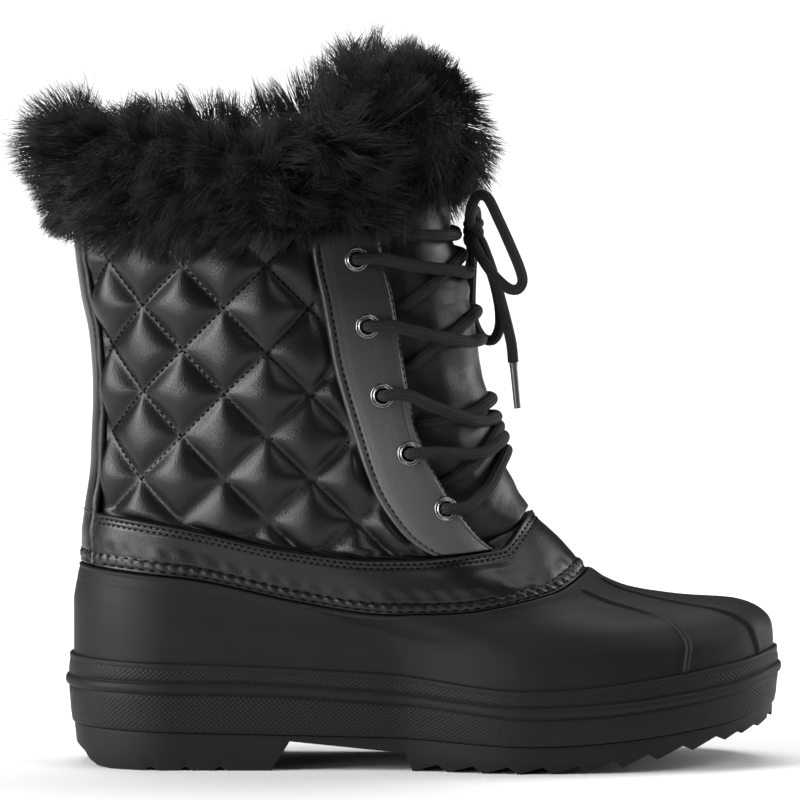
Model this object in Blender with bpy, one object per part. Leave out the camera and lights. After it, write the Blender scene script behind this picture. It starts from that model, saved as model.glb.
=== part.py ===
"""Lace-up winter boot for the right foot: rubber shell, quilted shaft, fur cuff and lugged sole.

Lengths in this file are millimetres and become metres when a mesh is made.
X runs from heel to toe, Y from the outer (lateral) to the inner (medial) side, Z up from the floor.
"""

import math

import bmesh
import bpy
import numpy as np

# Driving sizes
SOLE_LENGTH = 280.0
BALL_WIDTH = 104.0
UPPER_WALL = 3.0
SHELL_WALL = 2.8
OVERLAY_WALL = 1.4
TONGUE_WALL = 4.0
TONGUE_DIP = 3.2
TONGUE_DIP_TOP = 8.9
TONGUE_DIP_RUN = 0.7
SEAT_GAP = 0.3
CUP_DEPTH = 9.0
INSOLE_THICKNESS = 4.0
LACE_DIAMETER = 4.4
AGLET_DIAMETER = 3.0
EYELET_OUTER = 4.7
EYELET_HOLE = 2.9
EYELET_RISE = 1.2
EYELET_BARREL = 0.5
EYELET_SEAT = 0.6
EYELET_SIDES = 8
PUNCH_CLEAR = 1.0
PUNCH_REACH = 7.0
FACET_GAP = 0.55
CROSSING_CLEAR = 1.8
STRAND_CLEAR = 0.9
SHELL_GAP = 1.15
BAND_GAP = 1.6
BAND_WALL = 1.5
SIDE_COLUMNS = 21
HEEL_CROWDING = 0.22
TOE_COLUMNS = (3, 4)
MILLIMETRE = 0.001

# The last: one row for each level line around the boot, from the footbed to the collar.
# back and front are shares of the sole length, heel, waist and ball are half widths as shares of half
# the ball width, y_front is how far the front end leans to the inner side, round_back and round_front
# are the lengths of the rounded ends, and the up_ columns are heights over the floor.
LAST_COLUMNS = (
    "back", "front", "y_front", "round_back", "round_front", "heel", "waist", "ball",
    "up_back", "up_heel", "up_waist", "up_ball", "up_throat", "up_front",
)
LAST = {
    "bed":        (.029, .964, 7, 34, 76, .587, .596, .865, 34, 32.5, 29, 23.5, 31.5, 36),
    "feather":    (.023, .971, 7, 34, 78, .606, .615, .894, 43, 41.5, 38, 32.5, 40.5, 45),
    "wall":       (.023, .966, 7, 34, 78, .606, .615, .885, 55, 53, 47, 43, 47.5, 52),
    "toe_dome":   (.023, .925, 6, 34, 70, .592, .606, .837, 63, 60.5, 53.5, 50, 53.5, 58.5),
    "toe_top":    (.026, .850, 5, 34, 60, .583, .602, .788, 69, 66, 58, 54.5, 56.8, 60.8),
    "toe_back":   (.029, .782, 4, 34, 50, .577, .606, .750, 73.5, 70.5, 61.5, 57.5, 60, 64),
    "rim":        (.032, .719, 3, 34, 44, .577, .615, .731, 78, 74.5, 65.5, 61, 66, 72.5),
    "vamp":       (.032, .681, 1.5, 36, 40, .587, .644, .712, 89.5, 86, 76.5, 72, 75.5, 84.5),
    "band_top":   (.036, .636, 0, 40, 42, .615, .673, .702, 100, 96, 87.5, 83.5, 85, 97.5),
    "ankle":      (.040, .614, 0, 50, 48, .683, .740, .702, 118, 116.5, 112, 108, 108, 116),
    "shin_low":   (.043, .5875, 0, 56, 54, .750, .808, .721, 141, 141, 139.5, 137.5, 137.5, 141),
    "shin":       (.038, .571, 0, 60, 60, .808, .875, .750, 167, 167, 166, 165, 165, 167),
    "calf":       (.027, .561, 0, 62, 62, .837, .904, .769, 184, 184, 184, 184, 184, 184),
    "cuff_line":  (.016, .539, 0, 64, 64, .865, .933, .788, 206, 206, 206, 206, 206, 206),
    "collar":     (.007, .529, 0, 64, 64, .875, .942, .798, 238, 238, 238, 238, 238, 238),
}
LEVEL = {name: number for number, name in enumerate(LAST)}
STATIONS = {"heel": .20, "waist": .45, "ball": .66, "throat": .93}
# How full the inner side is beside the outer one, on the foot; the shaft is even on both sides.
MEDIAL_FULLNESS = {"heel": .95, "waist": .85, "ball": .94}

# The throat: half of its width as a share of half the way around the boot.
THROAT_COLUMNS = ("level", "half_width")
THROAT = ((8.0, .165), (8.4, .205), (9.0, .253), (10.0, .290), (12.0, .295), (14.0, .285))
# Rear edge of the eyestay and its eyelets, as shares of the way from heel to front.
EYESTAY_COLUMNS = ("level", "rear")
EYESTAY = ((8.0, .700), (8.5, .648), (9.1, .613), (9.8, .597), (11.0, .575), (12.2, .573), (14.0, .585))
EYELET_COLUMNS = ("level", "share")
EYELETS = ((12.75, .652), (11.45, .645), (10.32, .655), (9.55, .687), (8.78, .736))
EYELET_EXIT = .042
UNDER_EDGE_RISE = .38
KNOT_REACH = {"lateral": .036, "medial": .046}
KNOT_LEVEL = 13.02
BAR_RISE = .35
BACKSTAY_HALF = .100

# Toe ribs of the shell: share of the way from heel to front at each level, negative on the outer side.
RIB_COLUMNS = ("level", "lateral", "centre", "medial")
RIBS = (
    (0.0, -.785, -.930, .815),
    (1.0, -.790, -.930, .820),
    (2.0, -.800, -.925, .825),
    (3.0, -.822, -.920, .845),
    (4.0, -.860, -.935, .880),
    (5.0, -.885, -.955, .905),
    (6.0, -.905, -.975, .920),
)
RIB_RISE = 1.3
RIB_SHARE = .010

# Sidewall of the sole, from its lower edge to its ledge: how far it stands out from the last's feather
# line, where between lower edge (0), middle rib (1) and ledge (2) it lies, and a lift in millimetres.
FOXING_COLUMNS = ("place", "outset", "lift")
FOXING = (
    (0.0, 4.4, 0.0),
    (0.5, 5.5, 0.0),
    (1.0, 6.0, -2.2),
    (1.0, 7.6, -1.2),
    (1.0, 7.6, 0.8),
    (1.0, 6.2, 1.6),
    (2.0, 5.4, -1.6),
    (2.0, 4.4, 0.0),
)
# Heights of its lower edge and of its middle rib at back, heel, waist, ball, throat and front.
LOWER_EDGE = (16.0, 14.7, 13.2, 10.8, 17.5, 23.0)
MIDDLE_RIB = (32.8, 32.6, 29.0, 24.3, 31.0, 37.0)

# Block of the tread: how far each of its loops stands out from the feather line, and its share of the
# height under the sidewall; the lowest loop is under the floor and is cut off by the tread's side view.
TREAD_BLOCK_COLUMNS = ("outset", "height_share", "drop")
TREAD_BLOCK = ((3.6, 1.0, 0.0), (2.9, 0.5, 0.0), (1.6, 0.0, 8.0))

# Tread seen from the side: place along the sole and height of the ground face.
TREAD_COLUMNS = ("x", "up")
TREAD_ENVELOPE = (
    (133, 0), (196, 0), (217, 2.4), (230, 5.0), (244, 8.0), (256, 11.0), (268, 14.4), (282, 19.5),
)
HEEL_BACK = 5.0
HEEL_BREAST_FOOT = 80.0
HEEL_BREAST_TOP = 87.0
HEEL_NOTCHES = (33.0, 46.5, 60.0)
HEEL_NOTCH_WIDTH = 4.0
ARCH_HEIGHT = 11.6
ARCH_END = 132.0
ARCH_END_HEIGHT = 7.0
LUG_PITCH = 12.6
LUG_GAP = 4.2
LUG_DEPTH = 3.2
LUG_SLOPE_SHARE = 0.4
GROOVE_START = 107.0
GROOVE_HALF = 4.5
GROOVE_DEPTH = 2.4
PAST_ENDS = 40.0

# Fur: cross-section of the cuff and of the tongue's top, as level on the last, how far it stands off
# the upper's face, a lift over that level, and how far it spreads sideways. The rows marked True grow
# locks up to the next row.
FUR_COLUMNS = ("level", "proud", "lift", "spread", "locks")
CUFF_FUR = (
    (13.00, 2.9, 0, 1, False),
    (13.02, 7, -2, 1, True),
    (13.25, 11, 0, 1, True),
    (13.70, 11.5, 0, 1, True),
    (14.00, 9, 6, 1, True),
    (14.00, 1, 10, 1, True),
    (14.00, -9, 6, 1, False),
    (13.72, -10, 0, 1, False),
    (13.72, -3.4, 0, 1, False),
    (14.00, -3.4, .4, 1, False),
    (14.00, 2.9, .4, 1, False),
)
TONGUE_FUR = (
    (13.55, 1.6, 0, 1, False),
    (13.52, 5, 0, 1, True),
    (13.85, 10, 0, 1, True),
    (14.00, 10, 20, 1.15, True),
    (14.00, 5, 34, 1.4, True),
    (14.00, -7, 41, 1.4, True),
    (14.00, -20, 36, 1.4, True),
    (14.00, -25, 20, 1.15, False),
    (13.80, -20, 0, 1, False),
    (13.70, -5.8, 0, 1, False),
    (14.00, -5.8, 8.9, 1, False),
    (14.00, 1.6, 8.9, 1, False),
)
LOCK_LENGTH = 7.0
LOCK_SPREAD = 0.35
TONGUE_TOP_LIFT = 8.0

# Bow: hand-chosen route points of the cord (x, y, z), each in the boot's own frame before centring.
LACE_KNOT = (158.5, -1.0, 207.5)
LOOP_LATERAL = (
    (158.1, -7.2, 211.3), (159.5, -11.0, 216.5), (163.0, -13.0, 220.0), (167.0, -15.5, 218.0),
    (170.4, -18.0, 209.8), (176.2, -21.0, 198.5), (179.0, -22.5, 190.0), (177.8, -22.5, 185.0),
    (174.4, -20.5, 184.8), (169.0, -16.5, 189.5), (164.5, -11.5, 196.0), (161.8, -8.2, 200.2),
)
LOOP_MEDIAL = (
    (158.0, 6.8, 206.5), (160.0, 10.5, 204.0), (162.0, 15.0, 196.5), (162.4, 18.5, 186.0),
    (162.2, 20.5, 175.0), (162.8, 20.8, 166.5), (165.4, 18.5, 163.2), (168.2, 14.5, 166.8),
    (168.6, 10.5, 174.0), (167.4, 7.0, 184.0), (165.2, 4.4, 194.0), (164.0, 2.6, 199.8),
)
END_LATERAL = (
    (164.0, -3.8, 205.1), (168.6, -6.2, 200.0), (171.0, -8.2, 192.0), (172.6, -10.5, 182.0),
    (173.6, -12.0, 172.0), (174.0, -12.6, 163.0), (174.2, -12.8, 156.0),
)
END_MEDIAL = (
    (157.3, 4.2, 212.6), (158.4, 9.6, 215.4), (159.6, 15.0, 213.2), (159.4, 20.5, 206.5),
    (158.0, 25.0, 196.0), (156.6, 28.0, 184.0), (156.2, 29.4, 172.0), (156.4, 30.0, 160.0),
)
AGLET_LENGTH = 18.0
# Knot: stacked rings, as a share of its half sizes and a height over its middle.
KNOT_HALF_DEPTH = 5.0
KNOT_HALF_WIDTH = 6.0
KNOT_SIDES = 8
KNOT_COLUMNS = ("share", "height")
KNOT = ((.45, -5.2), (.95, -2.6), (1.0, 1.0), (.55, 5.0))
CORD_NODES = ("lace_knot", "lace_loop", "lace_end", "aglet")

# Colours as seen: near-black rubber, leather and fur, dark nickel metal.
MATERIALS = {
    "rubber": ((.012, .012, .013), .62, 0.0),
    "leather": ((.006, .006, .007), .28, 0.0),
    "quilt": ((.005, .005, .006), .25, 0.0),
    "fur": ((.008, .008, .008), .90, 0.0),
    "felt": ((.030, .030, .032), .95, 0.0),
    "cord": ((.010, .010, .011), .85, 0.0),
    "nickel": ((.360, .350, .340), .25, 1.0),
    "tip": ((.060, .060, .065), .35, 0.0),
}


def clear_scene():
    for thing in list(bpy.data.objects):
        bpy.data.objects.remove(thing)


def smooth(knots, values, places):
    """Monotone cubic through the knots: it never swings past a value of the table."""
    knots = np.asarray(knots, float)
    values = np.asarray(values, float)
    places = np.clip(np.asarray(places, float), knots[0], knots[-1])
    step = np.diff(knots)
    rise = np.diff(values) / step
    slope = np.zeros(len(knots))
    slope[0] = rise[0]
    slope[-1] = rise[-1]
    turning = rise[:-1] * rise[1:] > 0
    before = 2 * step[1:] + step[:-1]
    after = step[1:] + 2 * step[:-1]
    with np.errstate(divide="ignore", invalid="ignore"):
        mean = (before + after) / (before / rise[:-1] + after / rise[1:])
    slope[1:-1] = np.where(turning, mean, 0.0)
    cell = np.clip(np.searchsorted(knots, places, side="right") - 1, 0, len(step) - 1)
    t = (places - knots[cell]) / step[cell]
    h = step[cell]
    return (
        values[cell] * (1 + 2 * t) * (1 - t) ** 2
        + values[cell + 1] * t * t * (3 - 2 * t)
        + slope[cell] * h * t * (1 - t) ** 2
        - slope[cell + 1] * h * t * t * (1 - t)
    )


def column(table, columns, name):
    return [row[columns.index(name)] for row in table]


def ease(t):
    t = np.clip(t, 0.0, 1.0)
    return t * t * (3 - 2 * t)


LAST_ROWS = tuple(LAST.values())
LAST_LEVELS = tuple(range(len(LAST_ROWS)))


def last_value(name, level):
    return smooth(LAST_LEVELS, column(LAST_ROWS, LAST_COLUMNS, name), level)


def along(station_values, share):
    """Blend of station values (heights or widths) along one side, each an array over the points."""
    places = [0.0, *STATIONS.values(), 1.0]
    flat = np.stack(station_values)
    result = np.empty(share.shape)
    for index in np.ndindex(share.shape):
        result[index] = smooth(places, flat[(slice(None), *index)], share[index])
    return result


def last_point(share, level):
    """Point of the upper's outer face.

    share runs from -1 (front, on the outer side) through 0 (heel) to 1 (front, on the inner side).
    """
    share, level = np.broadcast_arrays(np.asarray(share, float), np.asarray(level, float))
    share = (share + 1) % 2 - 1
    run = (1 - np.cos(math.pi * share)) / 2
    back = last_value("back", level) * SOLE_LENGTH
    front = last_value("front", level) * SOLE_LENGTH
    length = front - back
    from_back = np.clip(run * length / last_value("round_back", level), 0, 1)
    from_front = np.clip((1 - run) * length / last_value("round_front", level), 0, 1)
    ends = np.sqrt(1 - (1 - from_back) ** 2) * np.sqrt(1 - (1 - from_front) ** 2)
    on_foot = 1 - ease((level - LEVEL["rim"]) / 4)
    inner_side = share > 0
    widths = []
    for station in ("heel", "waist", "ball"):
        fullness = 1 - on_foot * (1 - MEDIAL_FULLNESS[station]) * inner_side
        widths.append(last_value(station, level) * BALL_WIDTH / 2 * fullness)
    heel, waist, ball = widths
    width = along([heel, heel, waist, ball, ball, ball], run)
    lean = last_value("y_front", level) * ease((run - .4) / .6)
    heights = [last_value(name, level) for name in LAST_COLUMNS if name.startswith("up_")]
    up = along(heights, run)
    y = np.where(inner_side, 1, -1) * width * ends + lean
    return np.stack([back + run * length, y, up], axis=-1)


def outward(share, level):
    """Unit normal of the upper's face, from small steps around and up."""
    share, level = np.broadcast_arrays(np.asarray(share, float), np.asarray(level, float))
    step = 1e-3
    low = np.clip(level - step, 0, LAST_LEVELS[-1] - 2 * step)
    around = last_point(share + step, level) - last_point(share - step, level)
    rising = last_point(share, low + 2 * step) - last_point(share, low)
    normal = np.cross(rising, around)
    return normal / np.linalg.norm(normal, axis=-1, keepdims=True)


def off_last(share, level, proud, lift=0.0):
    """Point that stands proud of the upper's face by some millimetres, then lifted straight up."""
    share, level, proud, lift = np.broadcast_arrays(share, level, proud, lift)
    point = last_point(share, level) + outward(share, level) * proud[..., None]
    point[..., 2] += lift
    return point


def throat_half(level):
    levels = column(THROAT, THROAT_COLUMNS, "level")
    return smooth(levels, column(THROAT, THROAT_COLUMNS, "half_width"), level)


def make_material(name):
    colour, roughness, metallic = MATERIALS[name]
    material = bpy.data.materials.new(name)
    material.use_nodes = True
    shader = material.node_tree.nodes["Principled BSDF"]
    shader.inputs["Base Color"].default_value = (*colour, 1.0)
    shader.inputs["Roughness"].default_value = roughness
    shader.inputs["Metallic"].default_value = metallic
    return material


def material_of(name):
    return bpy.data.materials.get(name) or make_material(name)


def add_object(name, data, finish):
    thing = bpy.data.objects.new(name, data)
    thing.data.materials.append(material_of(finish))
    bpy.context.scene.collection.objects.link(thing)
    return thing


def add_mesh(name, points, faces, finish):
    """Object from millimetre points; loose points go, and faces turn outwards."""
    mesh = bpy.data.meshes.new(name)
    mesh.from_pydata((np.asarray(points) * MILLIMETRE).tolist(), [], [list(face) for face in faces])
    work = bmesh.new()
    work.from_mesh(mesh)
    loose = [vertex for vertex in work.verts if not vertex.link_faces]
    bmesh.ops.delete(work, geom=loose, context="VERTS")
    bmesh.ops.recalc_face_normals(work, faces=work.faces)
    work.to_mesh(mesh)
    work.free()
    mesh.shade_smooth()
    mesh.set_sharp_from_angle(angle=math.radians(40))
    return add_object(name, mesh, finish)


def wall(name, outer, inner, ring_rows, finish):
    """Hollow wall between two grids (rows, columns, xyz). In a ring row the last column is the first one."""
    rows, columns = outer.shape[:2]
    front = np.arange(rows * columns).reshape(rows, columns)
    front[ring_rows, -1] = front[ring_rows, 0]
    back = front + rows * columns
    faces = []
    for i in range(rows - 1):
        for j in range(columns - 1):
            faces.append((front[i, j], front[i, j + 1], front[i + 1, j + 1], front[i + 1, j]))
            faces.append((back[i, j], back[i + 1, j], back[i + 1, j + 1], back[i, j + 1]))
        if not (ring_rows[i] and ring_rows[i + 1]):
            faces.append((front[i, 0], front[i + 1, 0], back[i + 1, 0], back[i, 0]))
            faces.append((front[i, -1], back[i, -1], back[i + 1, -1], front[i + 1, -1]))
    for j in range(columns - 1):
        faces.append((front[0, j], back[0, j], back[0, j + 1], front[0, j + 1]))
        faces.append((front[-1, j], front[-1, j + 1], back[-1, j + 1], back[-1, j]))
    points = np.concatenate([outer.reshape(-1, 3), inner.reshape(-1, 3)])
    return add_mesh(name, points, faces, finish)


def stack(name, loops, finish):
    """Solid from a stack of closed loops, its first and last loop closed by strips across."""
    count = len(loops[0])
    number = np.arange(len(loops) * count).reshape(len(loops), count)
    faces = []
    for low, high in zip(number[:-1], number[1:]):
        for j in range(count):
            k = (j + 1) % count
            faces.append((low[j], low[k], high[k], high[j]))
    for cap in (number[0], number[-1]):
        faces.append((cap[0], cap[1], cap[-1]))
        for j in range(1, (count - 1) // 2):
            faces.append((cap[j], cap[j + 1], cap[count - j - 1], cap[count - j]))
        if count % 2 == 0:
            middle = count // 2
            faces.append((cap[middle - 1], cap[middle], cap[middle + 1]))
    return add_mesh(name, np.concatenate(loops), faces, finish)


def ring_columns(levels):
    """Shares of the columns around the boot at each level, and which of them are crests of a toe rib.

    Both edges and the crest of each rib are columns, and every piece around the foot uses the same ones.
    """
    ribs = [smooth(column(RIBS, RIB_COLUMNS, "level"), column(RIBS, RIB_COLUMNS, name), levels)
            for name in RIB_COLUMNS[1:]]
    lateral, centre, medial = ribs
    columns = []
    crest = []

    def add_rib(middle):
        for offset, high in ((-2, 0), (-1, 1), (1, 1), (2, 0)):
            columns.append(middle + offset * RIB_SHARE)
            crest.append(high)

    def add_between(first, last, count, crowding=0.0):
        for t in np.arange(1, count) / count:
            t += crowding * math.sin(2 * math.pi * t) / (2 * math.pi)
            columns.append(first + (last - first) * t)
            crest.append(0)

    edge = 2 * RIB_SHARE
    add_rib(centre)
    add_between(centre + edge, lateral - edge, TOE_COLUMNS[0])
    add_rib(lateral)
    add_between(lateral + edge, medial - edge, SIDE_COLUMNS, HEEL_CROWDING)
    add_rib(medial)
    add_between(medial + edge, centre + 2 - edge, TOE_COLUMNS[1])
    columns.append(columns[0] + 2)
    crest.append(crest[0])
    return np.stack(columns, axis=-1), np.array(crest)


def ring_shares():
    """Columns at the feather line, without the one that closes the ring."""
    return ring_columns(np.float64(LEVEL["feather"]))[0][:-1]


def cup_floor(share):
    return last_point(share, LEVEL["feather"])[..., 2] - CUP_DEPTH


def edge_heights(row, share):
    run = (1 - np.cos(math.pi * share)) / 2
    return along([np.full(share.shape, value) for value in row], run)


def sole_loop(outset, heights):
    """Loop around the sole, set out level from the last's feather line."""
    share = ring_shares()
    point = last_point(share, LEVEL["feather"])
    normal = outward(share, LEVEL["feather"])
    normal[:, 2] = 0
    normal /= np.linalg.norm(normal, axis=1, keepdims=True)
    point = point + normal * outset
    point[:, 2] = heights
    return point


def build_foxing():
    """Cup of the sole: stepped side wall outside, upright wall and floor inside."""
    share = ring_shares()
    edges = [edge_heights(row, share) for row in (LOWER_EDGE, MIDDLE_RIB)]
    edges.append(last_point(share, LEVEL["feather"])[:, 2])
    loops = []
    for place, outset, lift in FOXING:
        heights = [np.interp(place, (0, 1, 2), three) for three in zip(*edges)]
        loops.append(sole_loop(outset, np.array(heights) + lift))
    room = SHELL_GAP + SHELL_WALL + SEAT_GAP
    loops.append(off_last(share, LEVEL["feather"], room))
    floor = off_last(share, LEVEL["bed"], room)
    floor[:, 2] = cup_floor(share) - SEAT_GAP
    loops.append(floor)
    return stack("foxing", loops, "rubber")


def tread_profile():
    """Side view of the ground faces from behind the heel to past the toe, as (x, up) points."""
    profile = [(-PAST_ENDS, 0.0), (HEEL_BACK, 0.0)]
    for place in HEEL_NOTCHES:
        half = HEEL_NOTCH_WIDTH / 2
        profile += [(place - half, 0.0), (place, LUG_DEPTH / 2), (place + half, 0.0)]
    profile += [(HEEL_BREAST_FOOT, 0.0), (HEEL_BREAST_TOP, ARCH_HEIGHT), (ARCH_END, ARCH_END_HEIGHT)]
    xs = column(TREAD_ENVELOPE, TREAD_COLUMNS, "x")
    ups = column(TREAD_ENVELOPE, TREAD_COLUMNS, "up")
    start = xs[0]
    while start + LUG_PITCH < xs[-1]:
        end = start + LUG_PITCH - LUG_GAP
        slope_end = end + LUG_GAP * LUG_SLOPE_SHARE
        next_wall = start + LUG_PITCH - .01
        for place, depth in ((start, 0), (end, 0), (slope_end, LUG_DEPTH), (next_wall, LUG_DEPTH)):
            profile.append((place, float(np.interp(place, xs, ups)) + depth))
        start += LUG_PITCH
    profile.append((xs[-1] + PAST_ENDS, ups[-1]))
    return profile


def profile_cutter(name, profile, half_width, floor=-30.0):
    """Closed plate under a side-view profile, reaching half_width to each side."""
    outline = [*profile, (profile[-1][0], floor), (profile[0][0], floor)]
    count = len(outline)
    points = [(x, side * half_width, up) for side in (-1, 1) for x, up in outline]
    faces = [tuple(range(count)), tuple(range(2 * count - 1, count - 1, -1))]
    for j in range(count):
        k = (j + 1) % count
        faces.append((j, k, k + count, j + count))
    cutter = add_mesh(name, points, faces, "rubber")
    cutter.hide_render = True
    cutter.display_type = "WIRE"
    return cutter


def cut(thing, cutter, operation="DIFFERENCE"):
    modifier = thing.modifiers.new(cutter.name, "BOOLEAN")
    modifier.operation = operation
    modifier.object = cutter
    modifier.solver = "EXACT"


def build_outsole():
    """Tread: a tapered block under the sidewall, cut from below by its side view and a middle groove."""
    share = ring_shares()
    top = edge_heights(LOWER_EDGE, share) - SEAT_GAP
    loops = [sole_loop(outset, top * height - drop) for outset, height, drop in TREAD_BLOCK]
    outsole = stack("outsole", loops, "rubber")
    cut(outsole, profile_cutter("tread_cutter", tread_profile(), BALL_WIDTH))
    xs = column(TREAD_ENVELOPE, TREAD_COLUMNS, "x")
    ups = column(TREAD_ENVELOPE, TREAD_COLUMNS, "up")
    groove = [(x, up + GROOVE_DEPTH) for x, up in zip(xs, ups)]
    groove[0] = (GROOVE_START, GROOVE_DEPTH)
    cut(outsole, profile_cutter("groove_cutter", groove, GROOVE_HALF))
    return outsole


def build_insole():
    share = ring_shares()
    clear = -(UPPER_WALL + 2 * SEAT_GAP)
    loops = []
    for level, lift in ((.02, 2 * FACET_GAP), (.35, 2 * FACET_GAP + INSOLE_THICKNESS)):
        loop = off_last(share, level, clear)
        loop[:, 2] = cup_floor(share) + lift
        loops.append(loop)
    return stack("insole", loops, "felt")


def upper_columns(levels):
    """Shares of the upper's columns: the ring's own up to the rim, then even between the throat's edges."""
    ring, _ = ring_columns(np.minimum(levels, LEVEL["rim"]))
    half = np.where(levels < LEVEL["band_top"], 0.0, throat_half(levels))
    even = np.linspace(-1, 1, ring.shape[1]) * (1 - half)[:, None]
    turn = ease((levels - LEVEL["rim"]) / 2)[:, None]
    return ring * (1 - turn) + even * turn


def build_upper():
    """The hollow wall: closed rings up to the instep, then open at the front along the throat."""
    levels = np.array([0, 1, 2, 3, 4, 5, 6, 7, 7.97, 8.15, 8.6, 9, 10, 11, 12.5, 14])
    ring_rows = levels < LEVEL["band_top"]
    share = upper_columns(levels)
    outer = off_last(share, levels[:, None], 0.0)
    inner = off_last(share, levels[:, None], -UPPER_WALL)
    for face in (outer, inner):
        face[0, :, 2] = cup_floor(share[1]) + FACET_GAP
    return wall("upper", outer, inner, ring_rows, "quilt")


def build_shell():
    """Rubber overshoe: a wall from the cup's floor to the rim, with the toe ribs as steps in it."""
    levels = np.array([0, 1, 2, 2.5, 3, 3.5, 4, 5, 6])
    share, crest = ring_columns(levels)
    fade = ease((levels - 1) / .6) * ease((6.6 - levels) / .8)
    outer = off_last(share, levels[:, None], SHELL_GAP + SHELL_WALL + RIB_RISE * crest * fade[:, None])
    inner = off_last(share, levels[:, None], SHELL_GAP)
    for row in np.flatnonzero(levels % 1):
        inner[row] = (inner[row - 1] + inner[row + 1]) / 2
    for face in (outer, inner):
        face[0, :, 2] = cup_floor(share[1]) + FACET_GAP
    return wall("rubber_shell", outer, inner, np.full(len(levels), True), "rubber")


def overlay(name, share, levels, low, high, ring, finish):
    """Piece laid on the upper between two distances from its face."""
    outer = off_last(share, levels[:, None], high)
    inner = off_last(share, levels[:, None], low)
    return wall(name, outer, inner, np.full(len(levels), ring), finish)


def build_vamp_band():
    levels = np.array([6.06, 7, 7.94])
    share = upper_columns(levels)
    return overlay("vamp_band", share, levels, BAND_GAP, BAND_GAP + BAND_WALL, True, "leather")


def build_eyestay(name, side):
    levels = np.array([8.06, 8.3, 8.6, 9, 9.6, 10.3, 11.2, 12.4, 13.9])
    places = column(EYESTAY, EYESTAY_COLUMNS, "level")
    rear = smooth(places, column(EYESTAY, EYESTAY_COLUMNS, "rear"), levels)
    front = 1 - throat_half(levels) - .004
    t = np.linspace(0, 1, 5)
    share = side * (rear[:, None] + (front - rear)[:, None] * t)
    return overlay(name, share, levels, FACET_GAP, FACET_GAP + OVERLAY_WALL, False, "leather")


def build_backstay():
    levels = np.array([8.06, 9, 10, 11, 12, 13, 13.9])
    share = np.tile(np.linspace(-BACKSTAY_HALF, BACKSTAY_HALF, 5), (len(levels), 1))
    return overlay("backstay", share, levels, FACET_GAP, FACET_GAP + OVERLAY_WALL, False, "leather")


def tongue_face(front_share, level):
    """How far the tongue's face lies off the last: tucked under the throat's edges, deepest at
    the lower end, and full in its middle."""
    dip = TONGUE_DIP * ease((TONGUE_DIP_TOP - level) / TONGUE_DIP_RUN)
    tucked = -(UPPER_WALL + 4 * FACET_GAP + dip)
    edge = throat_half(np.maximum(level, LEVEL["band_top"]))
    across = ease((edge - .02 - np.abs(front_share)) / .075)
    rising = ease((level - 8.12) / .5)
    return tucked * (1 - across * rising)


def build_tongue():
    """Padded sheet from under the vamp to above the collar, running under both edges of the throat."""
    levels = np.array([7.75, 8.1, 8.35, 8.7, 9.2, 10, 11, 12, 13, 13.5, 14, 14])
    lift = np.array([0] * 11 + [TONGUE_TOP_LIFT])
    tuck = np.minimum(.05, (levels - 7.6) * .12)
    reach = throat_half(np.maximum(levels, LEVEL["band_top"])) + np.where(levels < 13.4, tuck, -.06)
    bends = np.array([.30, .55, .70, .84, 1.0])
    front_share = reach[:, None] * np.concatenate([-bends[::-1], [0.0], bends])
    face = tongue_face(front_share, levels[:, None])
    outer = off_last(1 - front_share, levels[:, None], face, lift[:, None])
    inner = off_last(1 - front_share, levels[:, None], face - TONGUE_WALL, lift[:, None])
    return wall("tongue", outer, inner, np.full(len(levels), False), "leather")


def fur_body(name, section, middle, reach, base, seed):
    """Bent bolster with this cross-section; each cell of its shaggy rows is drawn out into a lock.

    It runs around the boot from middle - reach to middle + reach, and base is how far the carrier's face
    lies off the last at each (reach, level).
    """
    chance = np.random.default_rng(seed)
    levels = np.array(column(section, FUR_COLUMNS, "level"))
    proud = np.array(column(section, FUR_COLUMNS, "proud"), float)
    lift = np.array(column(section, FUR_COLUMNS, "lift"), float)
    spread = np.array(column(section, FUR_COLUMNS, "spread"), float)
    proud = proud + base(reach[:, None], levels)
    grid = off_last(middle + reach[:, None] * spread, levels[None, :], proud, lift[None, :])
    count, around = grid.shape[:2]
    number = np.arange(count * around).reshape(count, around)
    points = list(grid.reshape(-1, 3))
    faces = [tuple(number[0, ::-1]), tuple(number[-1])]
    for j in range(around):
        k = (j + 1) % around
        for i in range(count - 1):
            cell = (number[i, j], number[i, k], number[i + 1, k], number[i + 1, j])
            if not section[j][FUR_COLUMNS.index("locks")]:
                faces.append(cell)
                continue
            a, b, c, d = (points[index] for index in cell)
            normal = np.cross(c - a, d - b)
            normal /= np.linalg.norm(normal)
            sway = chance.normal(0, LOCK_SPREAD, 3)
            tip = (a + b + c + d) / 4 + (normal + sway) * LOCK_LENGTH * chance.uniform(.55, 1.1)
            points.append(tip)
            top = len(points) - 1
            faces += [(*pair, top) for pair in zip(cell, (*cell[1:], cell[0]))]
    return add_mesh(name, points, faces, "fur")


def build_fur():
    half = float(throat_half(LEVEL["collar"])) + .004
    fur_body("fur_cuff", CUFF_FUR, 0.0, np.linspace(-1, 1, 27) * (1 - half), lambda reach, level: 0.0, 11)
    fur_body("tongue_fur", TONGUE_FUR, 1.0, np.linspace(-1, 1, 11) * (half - .045),
             lambda reach, level: tongue_face(reach, np.minimum(level, 13.4)), 5)


def frame_at(share, level):
    """Outward direction and one direction in the face, for a round piece set on the upper."""
    normal = outward(np.float64(share), np.float64(level))
    side = np.cross((0.0, 0.0, 1.0), normal)
    side /= np.linalg.norm(side)
    return normal, side, np.cross(normal, side)


def spokes(side, up, count):
    """Unit directions around a circle that two square directions span."""
    turns = np.arange(count) * 2 * math.pi / count
    return np.cos(turns)[:, None] * side + np.sin(turns)[:, None] * up


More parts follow.
